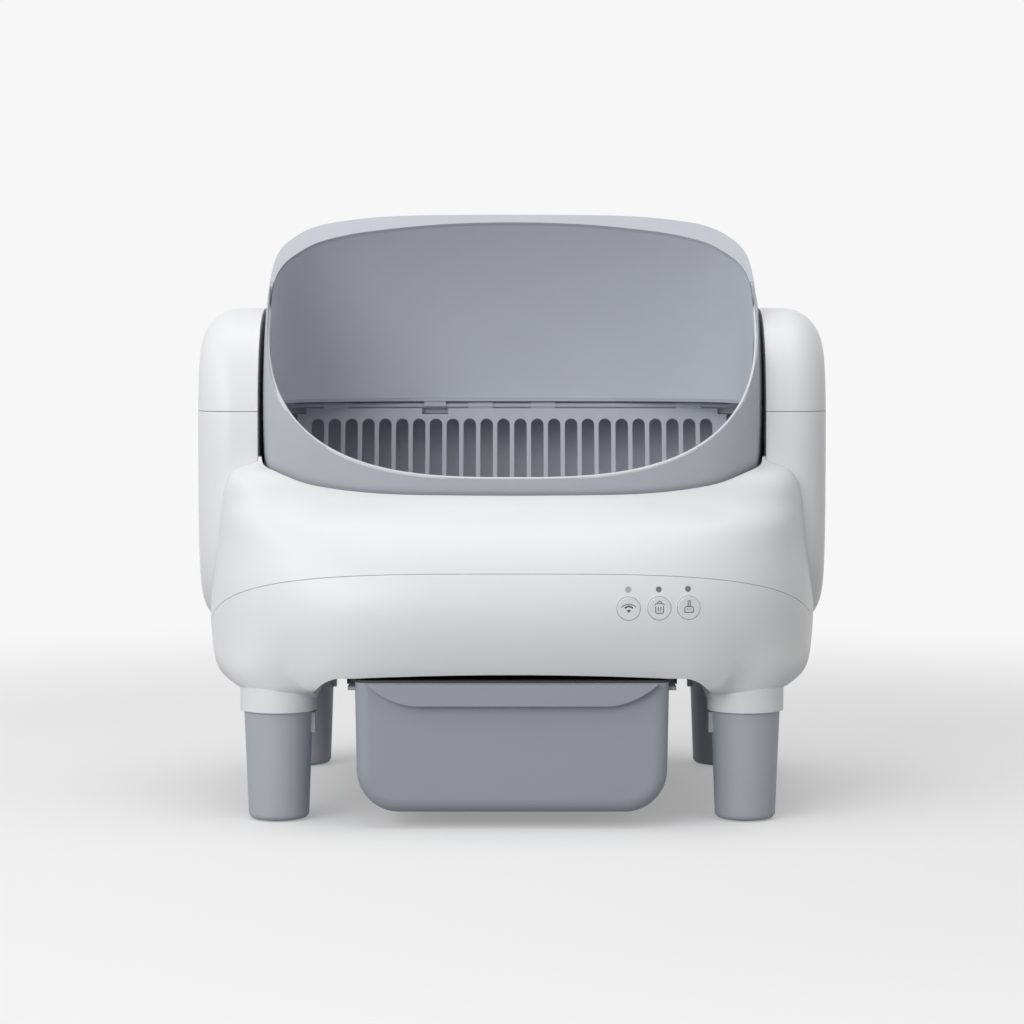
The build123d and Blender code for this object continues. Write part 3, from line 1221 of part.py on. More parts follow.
def bin_block(inset):
    """The waste bin as a block with rounded ends, inset all round but for its open top."""
    with BuildPart() as block:
        with BuildSketch(bin_front.offset(-inset)):
            with BuildLine():
                bin_outline(inset)
            make_face()
        extrude(amount=2 * inset - bin_length)
        end_edges = block.faces().filter_by(Axis.Y).edges()
        below_rim = end_edges.filter_by(lambda edge: edge.center().Z < lip_top)
        fillet(below_rim, radius=BIN_EDGE_ROUND - inset)
    return block.part


# Waste bin: open tray with side flanges on the rails and a finger lip in front
bin_front = Plane(origin=(0, BIN_FRONT_Y, 0), x_dir=(1, 0, 0), z_dir=(0, -1, 0))
bin_length = BIN_BACK_Y - BIN_FRONT_Y
lip_top = BIN_TOP_Z - LIP_TOP_BELOW_RIM
lip_foot = lip_top - LIP_HEIGHT
with BuildPart() as waste_bin:
    add(bin_block(0))
    with BuildSketch(bin_front.offset(LIP_PROUD)):
        with BuildLine():
            Line((-LIP_TOP_HALF_WIDTH, lip_top), (LIP_TOP_HALF_WIDTH, lip_top))
            Bezier(
                (LIP_TOP_HALF_WIDTH, lip_top),
                (LIP_TOP_HALF_WIDTH - LIP_SIDE_PULL, lip_foot),
                (LIP_FOOT_HALF_WIDTH, lip_foot),
            )
            Line((LIP_FOOT_HALF_WIDTH, lip_foot), (-LIP_FOOT_HALF_WIDTH, lip_foot))
            Bezier(
                (-LIP_FOOT_HALF_WIDTH, lip_foot),
                (LIP_SIDE_PULL - LIP_TOP_HALF_WIDTH, lip_foot),
                (-LIP_TOP_HALF_WIDTH, lip_top),
            )
        make_face()
    extrude(amount=-LIP_PROUD - BIN_WALL)
    with BuildSketch(bin_front):
        with Locations((0, lip_foot + (LIP_HEIGHT - LIP_WALL) / 2)):
            Rectangle(2 * LIP_FOOT_HALF_WIDTH, LIP_HEIGHT - LIP_WALL)
    extrude(amount=LIP_PROUD - LIP_WALL, mode=Mode.SUBTRACT)
    for side in (-1, 1):
        flange_middle = (BIN_FLANGE_FRONT_Y + BIN_FLANGE_BACK_Y) / 2
        flange_width = BIN_FLANGE + 2 * BIN_WALL
        with BuildSketch(Plane.XY.offset(BIN_FLANGE_Z)):
            with Locations((side * (BIN_HALF_WIDTH + BIN_FLANGE - flange_width / 2), flange_middle)):
                Rectangle(flange_width, BIN_FLANGE_BACK_Y - BIN_FLANGE_FRONT_Y)
        extrude(amount=BIN_FLANGE_THICKNESS)
    add(bin_block(BIN_WALL), mode=Mode.SUBTRACT)
waste_bin.part.label = "waste_bin"
export_step(waste_bin.part, "parts/waste_bin.step")

# Bag frame: loose ring over the bin's rim, its skirt inside
frame_middle = (BIN_FRONT_Y + BIN_BACK_Y) / 2
frame_outer = (2 * BIN_HALF_WIDTH, bin_length)
frame_skirt = (frame_outer[0] - 2 * (BIN_WALL + FRAME_GAP), frame_outer[1] - 2 * (BIN_WALL + FRAME_GAP))
frame_opening = (frame_outer[0] - 2 * FRAME_RIM, frame_outer[1] - 2 * FRAME_RIM)
skirt_opening = (frame_skirt[0] - 2 * FRAME_SKIRT_WALL, frame_skirt[1] - 2 * FRAME_SKIRT_WALL)
with BuildPart() as bag_frame:
    with BuildSketch(Plane.XY.offset(BIN_TOP_Z)):
        with Locations((0, frame_middle)):
            RectangleRounded(*frame_outer, BIN_EDGE_ROUND)
            Rectangle(*frame_opening, mode=Mode.SUBTRACT)
    extrude(amount=FRAME_THICKNESS)
    with BuildSketch(Plane.XY.offset(BIN_TOP_Z)):
        with Locations((0, frame_middle)):
            RectangleRounded(*frame_skirt, BIN_EDGE_ROUND - BIN_WALL)
            RectangleRounded(*skirt_opening, BIN_EDGE_ROUND - BIN_WALL - FRAME_SKIRT_WALL, mode=Mode.SUBTRACT)
    extrude(amount=-FRAME_SKIRT)
bag_frame.part.label = "bag_frame"
export_step(bag_frame.part, "parts/bag_frame.step")

# Bin rails under the tray's ceiling
rail_lip_top = BIN_FLANGE_Z - RAIL_LIP_GAP
for rail_name, side in (("left_bin_rail", -1), ("right_bin_rail", 1)):
    with BuildPart() as rail:
        with BuildSketch(SECTION_PLANE):
            with BuildLine():
                Polyline(
                    (side * RAIL_OUTER_X, UNDERSIDE_Z),
                    (side * (RAIL_OUTER_X - RAIL_WEB), UNDERSIDE_Z),
                    (side * (RAIL_OUTER_X - RAIL_WEB), rail_lip_top),
                    (side * (RAIL_OUTER_X - RAIL_LIP), rail_lip_top),
                    (side * (RAIL_OUTER_X - RAIL_LIP), rail_lip_top - RAIL_LIP_THICKNESS),
                    (side * RAIL_OUTER_X, rail_lip_top - RAIL_LIP_THICKNESS),
                    close=True,
                )
            make_face()
        extrude(amount=BIN_FLANGE_BACK_Y, both=True)
    rail.part.label = rail_name
    export_step(rail.part, "parts/" + rail_name + ".step")
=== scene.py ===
"""Looks of a self-cleaning litter box: finishes, tray skin, button signs, rim bead, studio and camera."""

import json

import bpy
import numpy as np
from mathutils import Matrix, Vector


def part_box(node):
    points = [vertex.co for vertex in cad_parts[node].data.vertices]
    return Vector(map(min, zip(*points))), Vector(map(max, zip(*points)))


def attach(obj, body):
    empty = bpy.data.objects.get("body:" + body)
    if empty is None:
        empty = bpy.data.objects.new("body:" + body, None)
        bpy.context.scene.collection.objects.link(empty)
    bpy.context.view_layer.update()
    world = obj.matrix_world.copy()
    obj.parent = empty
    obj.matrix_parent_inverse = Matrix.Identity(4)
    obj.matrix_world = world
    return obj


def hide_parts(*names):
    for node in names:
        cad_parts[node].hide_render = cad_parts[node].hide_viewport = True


MM = 0.001

# Camera: a long lens a little above the drum's rim, tipped down slightly
CAMERA_PLACE = (0.0, -2.896, 0.450)
CAMERA_TARGET = (0.0, 0.0, 0.2602)
CAMERA_LENS_MM = 109.4
CAMERA_SENSOR_MM = 36.0

# Studio: a round floor that fades into a plain white surround
FLOOR_RADIUS = 9.0
FLOOR_CORNERS = 96
FLOOR_COLOUR = (0.93, 0.93, 0.935)
FLOOR_BOUNCE_COLOUR = (0.42, 0.42, 0.425)
FLOOR_ROUGHNESS = 0.9
FLOOR_TONE_SHARES = (0.995, 1.005)
FLOOR_FADE_REACH = (0.6, 1.6)
FLOOR_GLOW = 0.30
SURROUND_COLOUR = (0.93, 0.93, 0.93)
WORLD_STRENGTH = 0.46

# Lamps: name, place, aim, size, power in watts
LAMP_AIM = (0.0, -0.05, 0.28)
LAMPS = (
    ("key_softbox", (-1.6, -3.0, 1.3), LAMP_AIM, 1.8, 41.0),
    ("side_softbox", (-2.25, -1.45, 1.85), LAMP_AIM, 1.5, 12.0),
    ("top_softbox", (0.0, -0.2, 2.7), LAMP_AIM, 2.2, 21.0),
)

# Moulded edges
EDGE_ROUND = 0.8 * MM
RIM_ROUND = 2.0 * MM
EDGE_SAMPLES = 6

# Colours
WHITE = (0.84, 0.845, 0.855)
DRUM_GREY = (0.525, 0.545, 0.595)
# Painted light: the back panel's grey is lighter than the drum's own grey, standing for the light on the wall
# inside the drum
PANEL_PAINTED_LIGHT_GREY = (0.635, 0.658, 0.712)
# Painted shade: the bowl's grey is darker than the drum's own grey, standing for less light on the bowl's front
BOWL_PAINTED_SHADE_GREY = (0.495, 0.514, 0.560)
# Painted highlight: the rim bead's pale grey stands for the bright line of light along the scoop's rounded rim
RIM_PAINTED_HIGHLIGHT_GREY = (0.72, 0.73, 0.76)
LEG_GREY = (0.455, 0.475, 0.522)
BIN_GREY = (0.345, 0.364, 0.410)
SIGN_GREY = (0.10, 0.10, 0.105)
INNER_BLACK = (0.045, 0.046, 0.05)
BEARING_CREAM = (0.72, 0.72, 0.67)
STEEL_TONE = (0.62, 0.62, 0.64)
ALUMINIUM_TONE = (0.74, 0.74, 0.76)
RUBBER_BLACK = (0.028, 0.028, 0.03)
LACQUER_GREEN = (0.02, 0.13, 0.05)
TRACK_GREEN = (0.08, 0.30, 0.12)
LENS_UNLIT = (0.20, 0.205, 0.21)
LENS_PALE = (0.50, 0.50, 0.505)

# Patterns of the finishes: cells per metre, and how finely they break up
TONE_CLOUDS = (9.0, 3.0)
GLOSS_PATCHES = (60.0, 4.0)
MOULD_WAVE = (22.0, 1.0)
METAL_STREAKS = (900.0, 3.0)
RUBBER_BLOOM = (80.0, 5.0)
RUBBER_PEBBLES = (1400.0, 2.0)
LENS_HAZE = (300.0, 2.0)
PAPER_FIBRES = (400.0, 3.0)
GRAIN_DETAIL = 2.0
NOISE_REACH = (0.3, 0.7)

# Skins of the mouldings: gloss range, grain cells per metre, depth of the grain and of the slow wave, tone
PLAIN_MOTTLE_SHARE = 0.015
SHELL_SKIN = {
    "sheen": (0.34, 0.42),
    "grain": 1500.0,
    "grain_depth": 0.008 * MM,
    "wave_depth": 0.05 * MM,
    "mottle": 0.008,
}
DRUM_SKIN = {"sheen": (0.46, 0.56), "grain": 1300.0, "grain_depth": 0.03 * MM, "wave_depth": 0.04 * MM}
LEG_SKIN = {"sheen": (0.44, 0.54), "grain": 1300.0, "grain_depth": 0.03 * MM, "wave_depth": 0.03 * MM}
BIN_SKIN = {"sheen": (0.42, 0.52), "grain": 1300.0, "grain_depth": 0.03 * MM, "wave_depth": 0.04 * MM}
RIM_SKIN = {"sheen": (0.3, 0.4), "grain": 1300.0, "grain_depth": 0.01 * MM, "wave_depth": 0.02 * MM}
BEARING_SKIN = {"sheen": (0.35, 0.45), "grain": 1600.0, "grain_depth": 0.01 * MM, "wave_depth": 0.03 * MM}
INNER_SKIN = {
    "sheen": (0.45, 0.6),
    "grain": 1200.0,
    "grain_depth": 0.03 * MM,
    "wave_depth": 0.03 * MM,
    "mottle": 0.06,
}
INK_SKIN = {
    "sheen": (0.5, 0.6),
    "grain": 2200.0,
    "grain_depth": 0.01 * MM,
    "wave_depth": 0.0,
    "mottle": 0.05,
}

# Metal, rubber, boards and light pipes
STREAK_SHARES = (0.85, 1.1)
STREAK_DEPTH = 0.02 * MM
STEEL_STREAK_SCALE = (0.02, 1.0, 1.0)
STEEL_ROUGHNESS = 0.28
ALUMINIUM_STREAK_SCALE = (1.0, 0.03, 1.0)
ALUMINIUM_ROUGHNESS = 0.36
RUBBER_ROUGHNESS = 0.85
BLOOM_SHARES = (0.8, 1.5)
PEBBLE_DEPTH = 0.05 * MM
BOARD_ROUGHNESS = 0.32
TRACK_CELLS = 140.0
TRACK_EDGE = (0.04, 0.07)
TRACK_DEPTH = 0.03 * MM
LENS_COAT = 0.4
LENS_COAT_ROUGHNESS = 0.08
LENS_SHEEN = (0.22, 0.34)
PALE_LENS_BELOW_X = 113.0 * MM

# Colour sockets of a mixing node: dark, light and mixed
MIX_DARK = 6
MIX_LIGHT = 7
MIX_RESULT = 2

# Flow of the tray's lower skin into its leg sockets
SOCKET_RADIUS = 33.7 * MM
FLOW_NEAR = 70.0 * MM
FLOW_FAR = 130.0 * MM
FLOW_SHARE = 0.66
FLOW_SIDE_SHARE = 0.3
FLOW_FALL_Z = (108.0 * MM, 180.0 * MM)
FLOW_OUT_Y = (-30.0 * MM, 10.0 * MM)
FLOW_CLEAR_X = (150.0 * MM, 215.0 * MM)
SOCKET_LIFT = 9.0 * MM
LIFT_NEAR = 50.0 * MM
LIFT_FAR = 88.0 * MM
LIFT_SIDE_GROWTH = 42.0 * MM
LIFT_SIDE_X = (10.0 * MM, 40.0 * MM)
LIFT_BORE_CLEAR = (32.0 * MM, 33.2 * MM)
LIFT_RISE_Z = (100.0 * MM, 104.0 * MM)
LIFT_TOP_OUTSIDE_Z = 160.0 * MM
LIFT_TOP_TUNNEL_Z = 122.0 * MM
TUNNEL_CLEAR_X = (176.0 * MM, 200.0 * MM)
SEAM_REAR_Z = 140.0 * MM
SEAM_BEND_Y = -30.0 * MM
SEAM_SLOPE = 0.3995
SEAM_FADE = 40.0 * MM
WELD_DIGITS = 7
FLOW_STEP = 0.1 * MM

# Button signs, drawn on the flat face of each button
SIGN_PROUD = 0.04 * MM
SIGN_SINK = 0.06 * MM
SIGN_STROKE = 0.72 * MM
SIGN_HEAVY_STROKE = 1.45 * MM
ARC_STEPS = 28
FULL_TURN = 360.0
RIBBON_CORNERS = 4

# Bead on the scoop's rim
SCOOP_HALF_WIDTH = 219.76 * MM
SCOOP_DEPTH = 161.0 * MM
SCOOP_RISE = 103.2 * MM
SCOOP_POWER = 2.89
SCOOP_FIT_SHARE = 0.003
SCOOP_FIT_DEGREE = 5
BEAD_RADIUS = 1.7 * MM
BEAD_TAPER = 12.0 * MM
BEAD_TIP = 0.6 * MM
BEAD_STEPS = 120
BEAD_CORNERS = 16

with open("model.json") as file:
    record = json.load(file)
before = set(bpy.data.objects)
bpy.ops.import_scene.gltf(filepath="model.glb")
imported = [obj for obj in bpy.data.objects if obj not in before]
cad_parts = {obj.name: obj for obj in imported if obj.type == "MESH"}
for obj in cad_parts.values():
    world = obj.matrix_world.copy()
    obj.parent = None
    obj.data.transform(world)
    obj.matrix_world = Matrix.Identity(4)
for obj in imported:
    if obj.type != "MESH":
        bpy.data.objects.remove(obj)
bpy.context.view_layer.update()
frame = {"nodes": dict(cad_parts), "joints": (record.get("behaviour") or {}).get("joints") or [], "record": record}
nodes = frame["nodes"]
joints = {joint["child"]: joint for joint in frame["joints"]}


def new_finish(name):
    """An empty node material, with its shader and the piece's own coordinates."""
    material = bpy.data.materials.new(name)
    material.use_nodes = True
    tree = material.node_tree
    coordinates = tree.nodes.new("ShaderNodeTexCoord")
    return material, tree, tree.nodes["Principled BSDF"], coordinates.outputs["Object"]


def noise(tree, place, cells, detail):
    """Cloud noise of that many cells per metre."""
    node = tree.nodes.new("ShaderNodeTexNoise")
    node.inputs["Scale"].default_value = cells
    node.inputs["Detail"].default_value = detail
    tree.links.new(place, node.inputs["Vector"])
    return node.outputs["Fac"]


def stretched(tree, place, scale):
    """The same place with each axis scaled, so that a pattern runs in streaks."""
    node = tree.nodes.new("ShaderNodeMapping")
    node.inputs["Scale"].default_value = scale
    tree.links.new(place, node.inputs["Vector"])
    return node.outputs["Vector"]


def ranged(tree, value, source, target, easing="LINEAR"):
    """A value carried from its source range over to a target range."""
    node = tree.nodes.new("ShaderNodeMapRange")
    node.interpolation_type = easing
    for socket, number in zip(("From Min", "From Max", "To Min", "To Max"), (*source, *target)):
        node.inputs[socket].default_value = number
    tree.links.new(value, node.inputs["Value"])
    return node.outputs["Result"]


def spread(tree, value, low=0.0, high=1.0):
    """A noise value spread over low to high, from the middle reach where it mostly lies."""
    return ranged(tree, value, NOISE_REACH, (low, high))


def worked(tree, operation, first, second):
    """Two values put through one operation."""
    node = tree.nodes.new("ShaderNodeMath")
    node.operation = operation
    tree.links.new(first, node.inputs[0])
    tree.links.new(second, node.inputs[1])
    return node.outputs["Value"]


def tones(colour, shares):
    """A darker and a lighter tone of a colour, each that share of it."""
    return [tuple(share * part for part in colour) for share in shares]


def two_tone(tree, value, dark, light):
    """Dark where the value is 0, light where it is 1."""
    node = tree.nodes.new("ShaderNodeMix")
    node.data_type = "RGBA"
    node.inputs[MIX_DARK].default_value = (*dark, 1)
    node.inputs[MIX_LIGHT].default_value = (*light, 1)
    tree.links.new(value, node.inputs["Factor"])
    return node.outputs[MIX_RESULT]


def relief(tree, shader, height, depth, under=None):
    """Bumps of that depth in metres, laid over an earlier relief where one is given."""
    node = tree.nodes.new("ShaderNodeBump")
    node.inputs["Distance"].default_value = depth
    tree.links.new(height, node.inputs["Height"])
    if under is not None:
        tree.links.new(under, node.inputs["Normal"])
    tree.links.new(node.outputs["Normal"], shader.inputs["Normal"])
    return node.outputs["Normal"]


def soft_edges(tree, radius):
    """The surface's own normal, turned over within that radius of an edge as on a moulded corner."""
    node = tree.nodes.new("ShaderNodeBevel")
    node.samples = EDGE_SAMPLES
    node.inputs["Radius"].default_value = radius
    return node.outputs["Normal"]


def moulded(
    name, colour, sheen, grain, grain_depth, wave_depth, mottle=PLAIN_MOTTLE_SHARE, edge=EDGE_ROUND
):
    """Moulded plastic: faint tone clouds, a spark-eroded grain, a slow wave, uneven gloss, soft edges."""
    material, tree, shader, place = new_finish(name)
    clouds = spread(tree, noise(tree, place, *TONE_CLOUDS))
    tone = two_tone(tree, clouds, *tones(colour, (1 - mottle, 1 + mottle)))
    tree.links.new(tone, shader.inputs["Base Color"])
    gloss = spread(tree, noise(tree, place, *GLOSS_PATCHES), *sheen)
    tree.links.new(gloss, shader.inputs["Roughness"])
    wave = relief(tree, shader, noise(tree, place, *MOULD_WAVE), wave_depth, soft_edges(tree, edge))
    relief(tree, shader, noise(tree, place, grain, GRAIN_DETAIL), grain_depth, wave)
    return material


def brushed_metal(name, colour, streak_scale, roughness):
    """Drawn metal: streaks that run along one axis, in tone and relief."""
    material, tree, shader, place = new_finish(name)
    shader.inputs["Metallic"].default_value = 1.0
    shader.inputs["Roughness"].default_value = roughness
    streaks = noise(tree, stretched(tree, place, streak_scale), *METAL_STREAKS)
    tone = two_tone(tree, spread(tree, streaks), *tones(colour, STREAK_SHARES))
    tree.links.new(tone, shader.inputs["Base Color"])
    relief(tree, shader, streaks, STREAK_DEPTH)
    return material


def soft_rubber(name, colour):
    """Matt rubber with a pebbled skin and faint bloom."""
    material, tree, shader, place = new_finish(name)
    shader.inputs["Roughness"].default_value = RUBBER_ROUGHNESS
    bloom = spread(tree, noise(tree, place, *RUBBER_BLOOM))
    tone = two_tone(tree, bloom, *tones(colour, BLOOM_SHARES))
    tree.links.new(tone, shader.inputs["Base Color"])
    relief(tree, shader, noise(tree, place, *RUBBER_PEBBLES), PEBBLE_DEPTH)
    return material


def circuit_board(name, lacquer, track):
    """Lacquered board: the tracks show through as cell borders, under a glossy coat."""
    material, tree, shader, place = new_finish(name)
    shader.inputs["Roughness"].default_value = BOARD_ROUGHNESS
    cells = tree.nodes.new("ShaderNodeTexVoronoi")
    cells.feature = "DISTANCE_TO_EDGE"
    cells.distance = "EUCLIDEAN"
    cells.inputs["Scale"].default_value = TRACK_CELLS
    tree.links.new(place, cells.inputs["Vector"])
    tracks = ranged(tree, cells.outputs["Distance"], TRACK_EDGE, (1.0, 0.0))
    tree.links.new(two_tone(tree, tracks, lacquer, track), shader.inputs["Base Color"])
    relief(tree, shader, tracks, TRACK_DEPTH)
    return material


def light_pipe(name, unlit, pale):
    """Clear grey light pipes: the one nearest the middle of the front is paler."""
    material, tree, shader, place = new_finish(name)
    shader.inputs["Coat Weight"].default_value = LENS_COAT
    shader.inputs["Coat Roughness"].default_value = LENS_COAT_ROUGHNESS
    axes = tree.nodes.new("ShaderNodeSeparateXYZ")
    tree.links.new(place, axes.inputs["Vector"])
    inner = tree.nodes.new("ShaderNodeMath")
    inner.operation = "LESS_THAN"
    inner.inputs[1].default_value = PALE_LENS_BELOW_X
    tree.links.new(axes.outputs["X"], inner.inputs[0])
    tree.links.new(two_tone(tree, inner.outputs["Value"], unlit, pale), shader.inputs["Base Color"])
    haze = spread(tree, noise(tree, place, *LENS_HAZE), *LENS_SHEEN)
    tree.links.new(haze, shader.inputs["Roughness"])
    return material


finishes = {
    "shell_white": moulded("white_shell", WHITE, **SHELL_SKIN),
    "drum_grey": moulded("drum_plastic", DRUM_GREY, **DRUM_SKIN),
    "leg_grey": moulded("leg_plastic", LEG_GREY, **LEG_SKIN),
    "dark_plastic": moulded("dark_moulding", INNER_BLACK, **INNER_SKIN),
    "bearing_plastic": moulded("bearing_moulding", BEARING_CREAM, **BEARING_SKIN),
    "steel": brushed_metal("bright_steel", STEEL_TONE, STEEL_STREAK_SCALE, STEEL_ROUGHNESS),
    "load_cell_metal": brushed_metal(
        "milled_aluminium", ALUMINIUM_TONE, ALUMINIUM_STREAK_SCALE, ALUMINIUM_ROUGHNESS
    ),
    "rubber": soft_rubber("black_rubber", RUBBER_BLACK),
    "board_green": circuit_board("board_lacquer", LACQUER_GREEN, TRACK_GREEN),
    "indicator_lens": light_pipe("light_pipe", LENS_UNLIT, LENS_PALE),
}
piece_finishes = {
    "waste_bin": moulded("bin_plastic", BIN_GREY, **BIN_SKIN),
    # the bowl's darker grey is painted shade on the drum plastic
    "drum_bowl": moulded("bowl_painted_shade", BOWL_PAINTED_SHADE_GREY, **DRUM_SKIN, edge=RIM_ROUND),
    # the back panel's lighter grey is painted light on the drum plastic
    "back_panel": moulded("panel_painted_light", PANEL_PAINTED_LIGHT_GREY, **DRUM_SKIN),
}
for row in frame["record"]["subparts"]:
    node = nodes[row["node"]]
    node.data.materials.clear()
    node.data.materials.append(piece_finishes.get(row["node"], finishes[row["material_slot"]]))


def eased(value, low, high):
    """Smooth step: 0 up to low, 1 from high, and three t squared less two t cubed between."""
    share = np.clip((value - low) / (high - low), 0, 1)
    return share * share * (3 - 2 * share)


def along_path(path):
    """Unit direction of a path at each of its points, from its neighbours to either side."""
    along = np.gradient(path, axis=0)
    return along / np.linalg.norm(along, axis=1, keepdims=True)


def packed_points(name):
    """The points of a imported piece, one row each."""
    mesh = nodes[name].data
    points = np.empty(len(mesh.vertices) * 3)
    mesh.vertices.foreach_get("co", points)
    return points.reshape(-1, 3)


def add_piece(name, points, faces, finish, smooth=False):
    """A new piece with its place in its mesh, from rows of points and lists of corners, in one finish."""
    mesh = bpy.data.meshes.new(name)
    mesh.from_pydata(points.tolist(), [], faces)
    mesh.polygons.foreach_set("use_smooth", np.full(len(mesh.polygons), smooth))
    mesh.materials.append(finish)
    piece = bpy.data.objects.new(name, mesh)
    bpy.context.scene.collection.objects.link(piece)
    return piece


leg_low, leg_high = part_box("rear_right_leg")
leg_place = (np.array(leg_low[:2]) + np.array(leg_high[:2])) / 2


def flow_to_sockets(points):
    """The tray's skin near a leg: each point outside the socket comes nearer to the leg's axis by a share
    of its distance from the socket, largest low down and at the front; the skin's lower edge also rises.
    Both fade out at the seam, at the tunnel and far from the leg."""
    place = np.abs(points[:, :2]) - leg_place
    reach = np.maximum(np.linalg.norm(place, axis=1), FLOW_STEP)
    beside = np.abs(points[:, 0])
    height = points[:, 2]
    seam = SEAM_REAR_Z + SEAM_SLOPE * np.maximum(SEAM_BEND_Y - points[:, 1], 0)
    below_seam = eased(seam - height, 0, SEAM_FADE)
    facing = FLOW_SIDE_SHARE + (1 - FLOW_SIDE_SHARE) * (place[:, 1] / reach) ** 2
    draw = FLOW_SHARE * (1 - eased(height, *FLOW_FALL_Z)) * facing * eased(place[:, 1], *FLOW_OUT_Y)
    draw *= eased(beside, *FLOW_CLEAR_X) * below_seam * (1 - eased(reach, FLOW_NEAR, FLOW_FAR))
    pull = draw * np.maximum(reach - SOCKET_RADIUS, 0)
    outside = eased(beside, *TUNNEL_CLEAR_X)
    lift_top = LIFT_TOP_TUNNEL_Z + (LIFT_TOP_OUTSIDE_Z - LIFT_TOP_TUNNEL_Z) * outside
    lift_far = LIFT_FAR + LIFT_SIDE_GROWTH * eased(place[:, 0], *LIFT_SIDE_X)
    lift = SOCKET_LIFT * below_seam * eased(height, *LIFT_RISE_Z)
    lift *= 1 - eased(height, LIFT_RISE_Z[1], lift_top)
    lift *= eased(reach, *LIFT_BORE_CLEAR) * (1 - eased(reach, LIFT_NEAR, lift_far))
    moved = points.copy()
    moved[:, :2] -= np.sign(points[:, :2]) * place * (pull / reach)[:, None]
    moved[:, 2] += lift
    return moved


def flowing_tray():
    """The tray's welded triangles with every point moved by the flow, and each corner's normal turned by
    the inverse transpose of the flow's slopes, taken from points one small step to either side."""
    source = nodes["base_tray"].data
    points = packed_points("base_tray")
    corners = np.empty(len(source.loops), int)
    source.loops.foreach_get("vertex_index", corners)
    normals = np.empty(len(source.loops) * 3)
    source.corner_normals.foreach_get("vector", normals)
    slopes = []
    for step in FLOW_STEP * np.eye(3):
        change = flow_to_sockets(points + step) - flow_to_sockets(points - step)
        slopes.append(change / (2 * FLOW_STEP))
    turned = np.linalg.solve(np.stack(slopes, axis=1)[corners], normals.reshape(-1, 3, 1))[..., 0]
    turned /= np.linalg.norm(turned, axis=1, keepdims=True)
    welded, index = np.unique(np.round(points, WELD_DIGITS), axis=0, return_inverse=True)
    triangles = index.reshape(-1)[corners].reshape(-1, 3).tolist()
    moved = flow_to_sockets(welded)
    tray = add_piece("flowing_tray", moved, triangles, finishes["shell_white"], smooth=True)
    tray.data.normals_split_custom_set(turned.tolist())
    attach(tray, "base")
    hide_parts("base_tray")


flowing_tray()

sign_ink = moulded("sign_ink", SIGN_GREY, **INK_SKIN)


def arc(centre, radius, start, end):
    """Points of a circular arc: centre plus radius times the cosine and sine of an even run of angles."""
    turn = np.radians(np.linspace(start, end, ARC_STEPS))
    return np.column_stack((centre[0] + radius * np.cos(turn), centre[1] + radius * np.sin(turn)))


def line(*points):
    """A path of straight stretches through points given in millimetres."""
    return np.array(points) * MM


def stroke(path, width):
    """A flat ribbon along a path: each point is moved half the width to both sides along the path's
    normal, once at the low face and once at the high face, and the four edges close into a band."""
    along = along_path(path)
    across = np.column_stack((-along[:, 1], along[:, 0])) * width / 2
    flat = np.stack((path - across, path + across, path + across, path - across), axis=1)
    levels = np.array((-SIGN_SINK, -SIGN_SINK, SIGN_PROUD, SIGN_PROUD))
    count = len(path)
    heights = np.broadcast_to(levels[None, :, None], (count, RIBBON_CORNERS, 1))
    ring = np.concatenate((flat, heights), axis=2)
    corner = np.arange(RIBBON_CORNERS)
    start = np.arange(count - 1)[:, None] * RIBBON_CORNERS
    first = (start + corner).ravel()
    second = (start + (corner + 1) % RIBBON_CORNERS).ravel()
    sides = np.column_stack((first, second, second + RIBBON_CORNERS, first + RIBBON_CORNERS))
    caps = np.stack((corner[::-1], corner + RIBBON_CORNERS * (count - 1)))
    return ring.reshape(-1, 3), np.concatenate((sides, caps)).tolist()


def dot(centre, radius, start=0.0, end=FULL_TURN):
    """A small disc or wedge: an arc's points at the low and the high face, in a band and two fans."""
    rim = arc(centre, radius, start, end)
    if end - start == FULL_TURN:
        rim = rim[:-1]
    else:
        rim = np.concatenate((rim, (centre,)))
    count = len(rim)
    low = np.column_stack((rim, np.full(count, -SIGN_SINK)))
    high = np.column_stack((rim, np.full(count, SIGN_PROUD)))
    here = np.arange(count)
    after = (here + 1) % count
    band = np.column_stack((here, after, after + count, here + count))
    return np.concatenate((low, high)), [*band.tolist(), here[::-1].tolist(), (here + count).tolist()]


def button_face(button, inward):
    """Centre of a button's flat face, and its level, upright and outward directions."""
    out = -np.array(inward) / np.linalg.norm(inward)
    up = np.array((0.0, 0.0, 1.0))
    axes = np.stack((np.cross(up, out), up, out))
    places = packed_points(button) @ axes.T
    middle = (places.min(axis=0) + places.max(axis=0)) / 2
    middle[2] = places[:, 2].max()
    return axes.T @ middle, axes


def make_sign(name, button, joint, strokes):
    """A sign's strokes, laid on its button's face and riding with the button."""
    centre, axes = button_face(button, joint["axis"])
    points = np.concatenate([stroke_points for stroke_points, _ in strokes])
    faces = []
    start = 0
    for stroke_points, stroke_faces in strokes:
        faces.extend([corner + start for corner in face] for face in stroke_faces)
        start += len(stroke_points)
    sign = add_piece(name, centre + points @ axes, faces, sign_ink)
    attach(sign, joint["child"])


